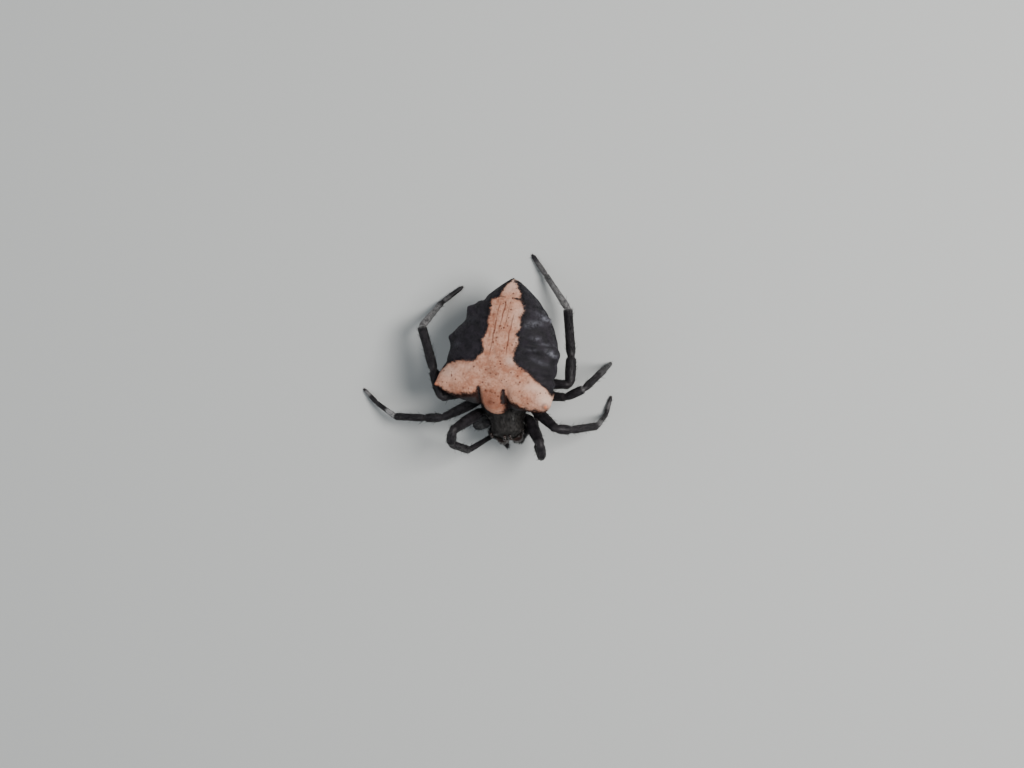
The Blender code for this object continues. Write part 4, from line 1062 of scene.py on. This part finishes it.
def buildCoatTree():
    tree = bpy.data.node_groups.new("growCoat", "GeometryNodeTree")
    addInput(tree, "Geometry", "NodeSocketGeometry")
    for name, value in (("Density", 1.0), ("Length", 0.001), ("Width", 0.05), ("Lean", 0.6), ("Spread", 0.2),
                        ("Bend", 0.3)):
        addInput(tree, name, "NodeSocketFloat", value)
    addInput(tree, "Steps", "NodeSocketInt", 2)
    addInput(tree, "Seed", "NodeSocketInt", 1)
    addInput(tree, "Share", "NodeSocketString", "coatShare")
    addInput(tree, "Material", "NodeSocketMaterial")
    tree.interface.new_socket(name="Geometry", in_out="OUTPUT", socket_type="NodeSocketGeometry")
    given = put(tree, "NodeGroupInput").outputs
    share = named(tree, "FLOAT", given["Share"])
    density = mathOf(tree, "MULTIPLY", share, given["Density"])
    points = put(tree, "GeometryNodeDistributePointsOnFaces",
                 {"Mesh": given["Geometry"], "Density": density, "Seed": given["Seed"]}, distribute_method="RANDOM")
    lie = named(tree, "FLOAT_VECTOR", "coatLie")
    rest = mathOf(tree, "SUBTRACT", 1.0, given["Lean"])
    direction = vectorOf(tree, "ADD", vectorOf(tree, "SCALE", points.outputs["Normal"], scale=rest),
                         vectorOf(tree, "SCALE", lie, scale=given["Lean"]))
    shake = randomOf(tree, (-1.0, -1.0, -1.0), (1.0, 1.0, 1.0), 11, "FLOAT_VECTOR")
    direction = vectorOf(tree, "ADD", direction, vectorOf(tree, "SCALE", shake, scale=given["Spread"]))
    upright = put(tree, "FunctionNodeAlignRotationToVector", {"Vector": direction}, axis="Z")
    turned = put(tree, "FunctionNodeAlignRotationToVector",
                 {"Rotation": upright.outputs["Rotation"], "Vector": lie}, axis="X", pivot_axis="Z")
    size = mathOf(tree, "MULTIPLY", named(tree, "FLOAT", "coatLength"), randomOf(tree, 0.55, 1.2, 12))
    size = mathOf(tree, "MULTIPLY", size, given["Length"])
    hair = put(tree, "GeometryNodeMeshCone", {"Vertices": 3, "Side Segments": given["Steps"], "Radius Top": 0.0,
                                              "Radius Bottom": given["Width"], "Depth": 1.0})
    hairMesh = storeOf(tree, hair.outputs["Mesh"], "hairUv", hair.outputs["UV Map"], "FLOAT2", "CORNER")
    place = put(tree, "ShaderNodeSeparateXYZ", {"Vector": put(tree, "GeometryNodeInputPosition").outputs[0]})
    squared = mathOf(tree, "MULTIPLY", place.outputs["Z"], place.outputs["Z"])
    offset = put(tree, "ShaderNodeCombineXYZ", {"X": mathOf(tree, "MULTIPLY", squared, given["Bend"]), "Z": -0.05})
    hairMesh = put(tree, "GeometryNodeSetPosition", {"Geometry": hairMesh, "Offset": offset.outputs[0]})
    smooth = put(tree, "GeometryNodeSetShadeSmooth", {"Geometry": hairMesh.outputs[0]})
    placed = put(tree, "GeometryNodeInstanceOnPoints", {
        "Points": points.outputs["Points"], "Instance": smooth.outputs[0],
        "Rotation": turned.outputs["Rotation"], "Scale": size})
    toned = storeOf(tree, placed.outputs["Instances"], "tuftTone", randomOf(tree, 0.0, 1.0, 13), "FLOAT", "INSTANCE")
    real = put(tree, "GeometryNodeRealizeInstances", {"Geometry": toned}).outputs[0]
    height = put(tree, "ShaderNodeSeparateXYZ", {"Vector": put(tree, "GeometryNodeInputPosition").outputs[0]})
    lift = mathOf(tree, "MAXIMUM", mathOf(tree, "SUBTRACT", 0.02 * mm, height.outputs["Z"]), 0.0)
    lifted = put(tree, "ShaderNodeCombineXYZ", {"Z": lift})  # no hair goes through the floor
    real = put(tree, "GeometryNodeSetPosition", {"Geometry": real, "Offset": lifted.outputs[0]}).outputs[0]
    corner = vectorOf(tree, "SUBTRACT", named(tree, "FLOAT_VECTOR", "hairUv"), (0.5, 0.5, 0.0))
    bakePlace = vectorOf(tree, "ADD", named(tree, "FLOAT_VECTOR", "skinPlace"),
                         vectorOf(tree, "SCALE", corner, scale=0.003))
    mapped = storeOf(tree, real, "OFBake", bakePlace, "FLOAT2", "CORNER")
    finished = put(tree, "GeometryNodeSetMaterial", {"Geometry": mapped, "Material": given["Material"]})
    tree.links.new(finished.outputs[0], put(tree, "NodeGroupOutput").inputs[0])
    return tree


coatTree = buildCoatTree()
keptMarks = {"crossDepth", "abdomenPlace", "crossPale", "rustMark", "stemLines", "frontWall", "underArm",
             "flankBloom", "lobeShade", "tipBead", "tuftTone", "legPale", "jointSkin", "facePale", "OFBake"}


def growCoat(name, skin, material, perSquare, length, width, seed, lean=0.6, spread=0.2, bend=0.3,
             steps=2, share="coatShare"):
    # perSquare is hairs in a square millimetre, width is a share of the length
    coat = bpy.data.objects.new(name, skin.data.copy())
    bpy.context.scene.collection.objects.link(coat)
    modifier = coat.modifiers.new("grow", "NODES")
    modifier.node_group = coatTree
    values = {"Density": perSquare * 1e6, "Length": length * mm, "Width": width, "Lean": lean, "Spread": spread,
              "Bend": bend, "Steps": steps, "Seed": seed, "Share": share, "Material": material}
    for socket in coatTree.interface.items_tree:
        if socket.in_out == "INPUT" and socket.name in values:
            modifier[socket.identifier] = values[socket.name]
    depsgraph = bpy.context.evaluated_depsgraph_get()
    mesh = bpy.data.meshes.new_from_object(coat.evaluated_get(depsgraph), depsgraph=depsgraph)
    coat.modifiers.clear()
    coat.data = mesh
    for attribute in [a.name for a in mesh.attributes if not a.is_internal and not a.is_required]:
        if attribute not in keptMarks and attribute != "sharp_face":
            mesh.attributes.remove(mesh.attributes[attribute])
    mesh.materials.clear()
    mesh.materials.append(material)
    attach(coat, "root")
    triangles = sum(len(face.vertices) - 2 for face in mesh.polygons)
    print(name, triangles, "triangles")
    return coat


growCoat("abdomen_velvet", abdomenSkin, abdomenHair, 45.0, 0.17, 0.11, 1, 0.78, 0.2, 0.1, 1)
growCoat("cross_fringe", abdomenSkin, abdomenHair, 110.0, 0.42, 0.05, 2, 0.8, 0.3, 0.1, 1,
         "fringeShare")
for number, skin in enumerate(legSkins):
    hairName = skin.name.replace("_skin", "_hair")
    growCoat(hairName, skin, legHair, 38.0, 0.36, 0.055, 20 + number, 0.8, 0.16, 0.2)
    growCoat(hairName.replace("_hair", "_bristles"), skin, legHair, 1.5, 0.8, 0.05,
             40 + number, 0.5, 0.12, 0.15)
growCoat("carapace_hair", carapaceShell, headHair, 40.0, 0.7, 0.04, 61, 0.68, 0.22, 0.25)
for number, piece in enumerate(jawPieces):
    growCoat(piece.name.replace("_shell", "_hair"), piece, headHair, 16.0, 0.7, 0.04,
             71 + number, 0.6, 0.2, 0.2)
for number, piece in enumerate(palpPieces):
    growCoat(piece.name.replace("_skin", "_hair"), piece, legHair, 45.0, 0.55, 0.05,
             81 + number, 0.6, 0.2, 0.2)
print("coats grown")


# Floor, light and camera

stage = {
    "floorSize": 2.4, "world": (0.62, 0.68, 0.72), "worldStrength": 0.30,
    "keyPlace": (0.24, 0.10, 0.38), "keySize": 0.22, "keyPower": 2.2,
    "fillPlace": (-0.35, -0.10, 0.35), "fillSize": 0.5, "fillPower": 0.5,
}
view = {
    "tiltX": 5.0, "tiltY": 4.0, "turn": 10.5, "aim": (0.0, 0.0, 9.0), "aimRight": 0.975, "aimUp": -4.38,
    "distance": 430.0, "frameWidth": 153.6, "sensor": 36.0,
}


def makeFloor():
    material, tree, shader = newMaterial("paleFloor", Roughness=0.85)
    shader.inputs["Base Color"].default_value = (0.66, 0.67, 0.66, 1.0)
    half = stage["floorSize"] / 2.0
    mesh = bpy.data.meshes.new("floor")
    corners = ((-half, -half, 0.0), (half, -half, 0.0), (half, half, 0.0), (-half, half, 0.0))
    mesh.from_pydata(corners, [], [(0, 1, 2, 3)])
    mesh.materials.append(material)
    floor = bpy.data.objects.new("floor", mesh)
    bpy.context.scene.collection.objects.link(floor)


def addLight(name, place, size, power, colour):
    light = bpy.data.lights.new(name, "AREA")
    light.shape = "DISK"
    light.size = size
    light.energy = power
    light.color = colour
    lamp = bpy.data.objects.new(name, light)
    lamp.location = place
    lamp.rotation_euler = (Vector((0.0, 0.0, 0.01)) - Vector(place)).to_track_quat("-Z", "Y").to_euler()
    bpy.context.scene.collection.objects.link(lamp)


def makeWorld():
    world = bpy.data.worlds.new("softDay")
    world.use_nodes = True
    background = world.node_tree.nodes["Background"]
    background.inputs["Color"].default_value = (*stage["world"], 1.0)
    background.inputs["Strength"].default_value = stage["worldStrength"]
    bpy.context.scene.world = world


def makeCamera():
    back = unit((math.tan(math.radians(view["tiltX"])), math.tan(math.radians(view["tiltY"])), 1.0))
    flatUp = unit(np.array((0.0, 1.0, 0.0)) - back * back[1])
    flatRight = np.cross(flatUp, back)
    turn = math.radians(view["turn"])
    right = math.cos(turn) * flatRight + math.sin(turn) * flatUp
    up = -math.sin(turn) * flatRight + math.cos(turn) * flatUp
    aim = np.array(view["aim"]) + frameShift + right * view["aimRight"] + up * view["aimUp"]
    place = (aim + back * view["distance"]) * mm
    camera = bpy.data.cameras.new("camera")
    camera.sensor_width = view["sensor"]
    camera.lens = view["sensor"] * view["distance"] / view["frameWidth"]
    camera.clip_start = 0.01
    holder = bpy.data.objects.new("camera", camera)
    columns = Matrix((right, up, back)).transposed().to_4x4()
    holder.matrix_world = Matrix.Translation(place) @ columns
    bpy.context.scene.collection.objects.link(holder)
    bpy.context.scene.camera = holder


makeFloor()
addLight("key", stage["keyPlace"], stage["keySize"], stage["keyPower"], (1.0, 0.98, 0.95))
addLight("fill", stage["fillPlace"], stage["fillSize"], stage["fillPower"], (0.92, 0.96, 1.0))
makeWorld()
makeCamera()
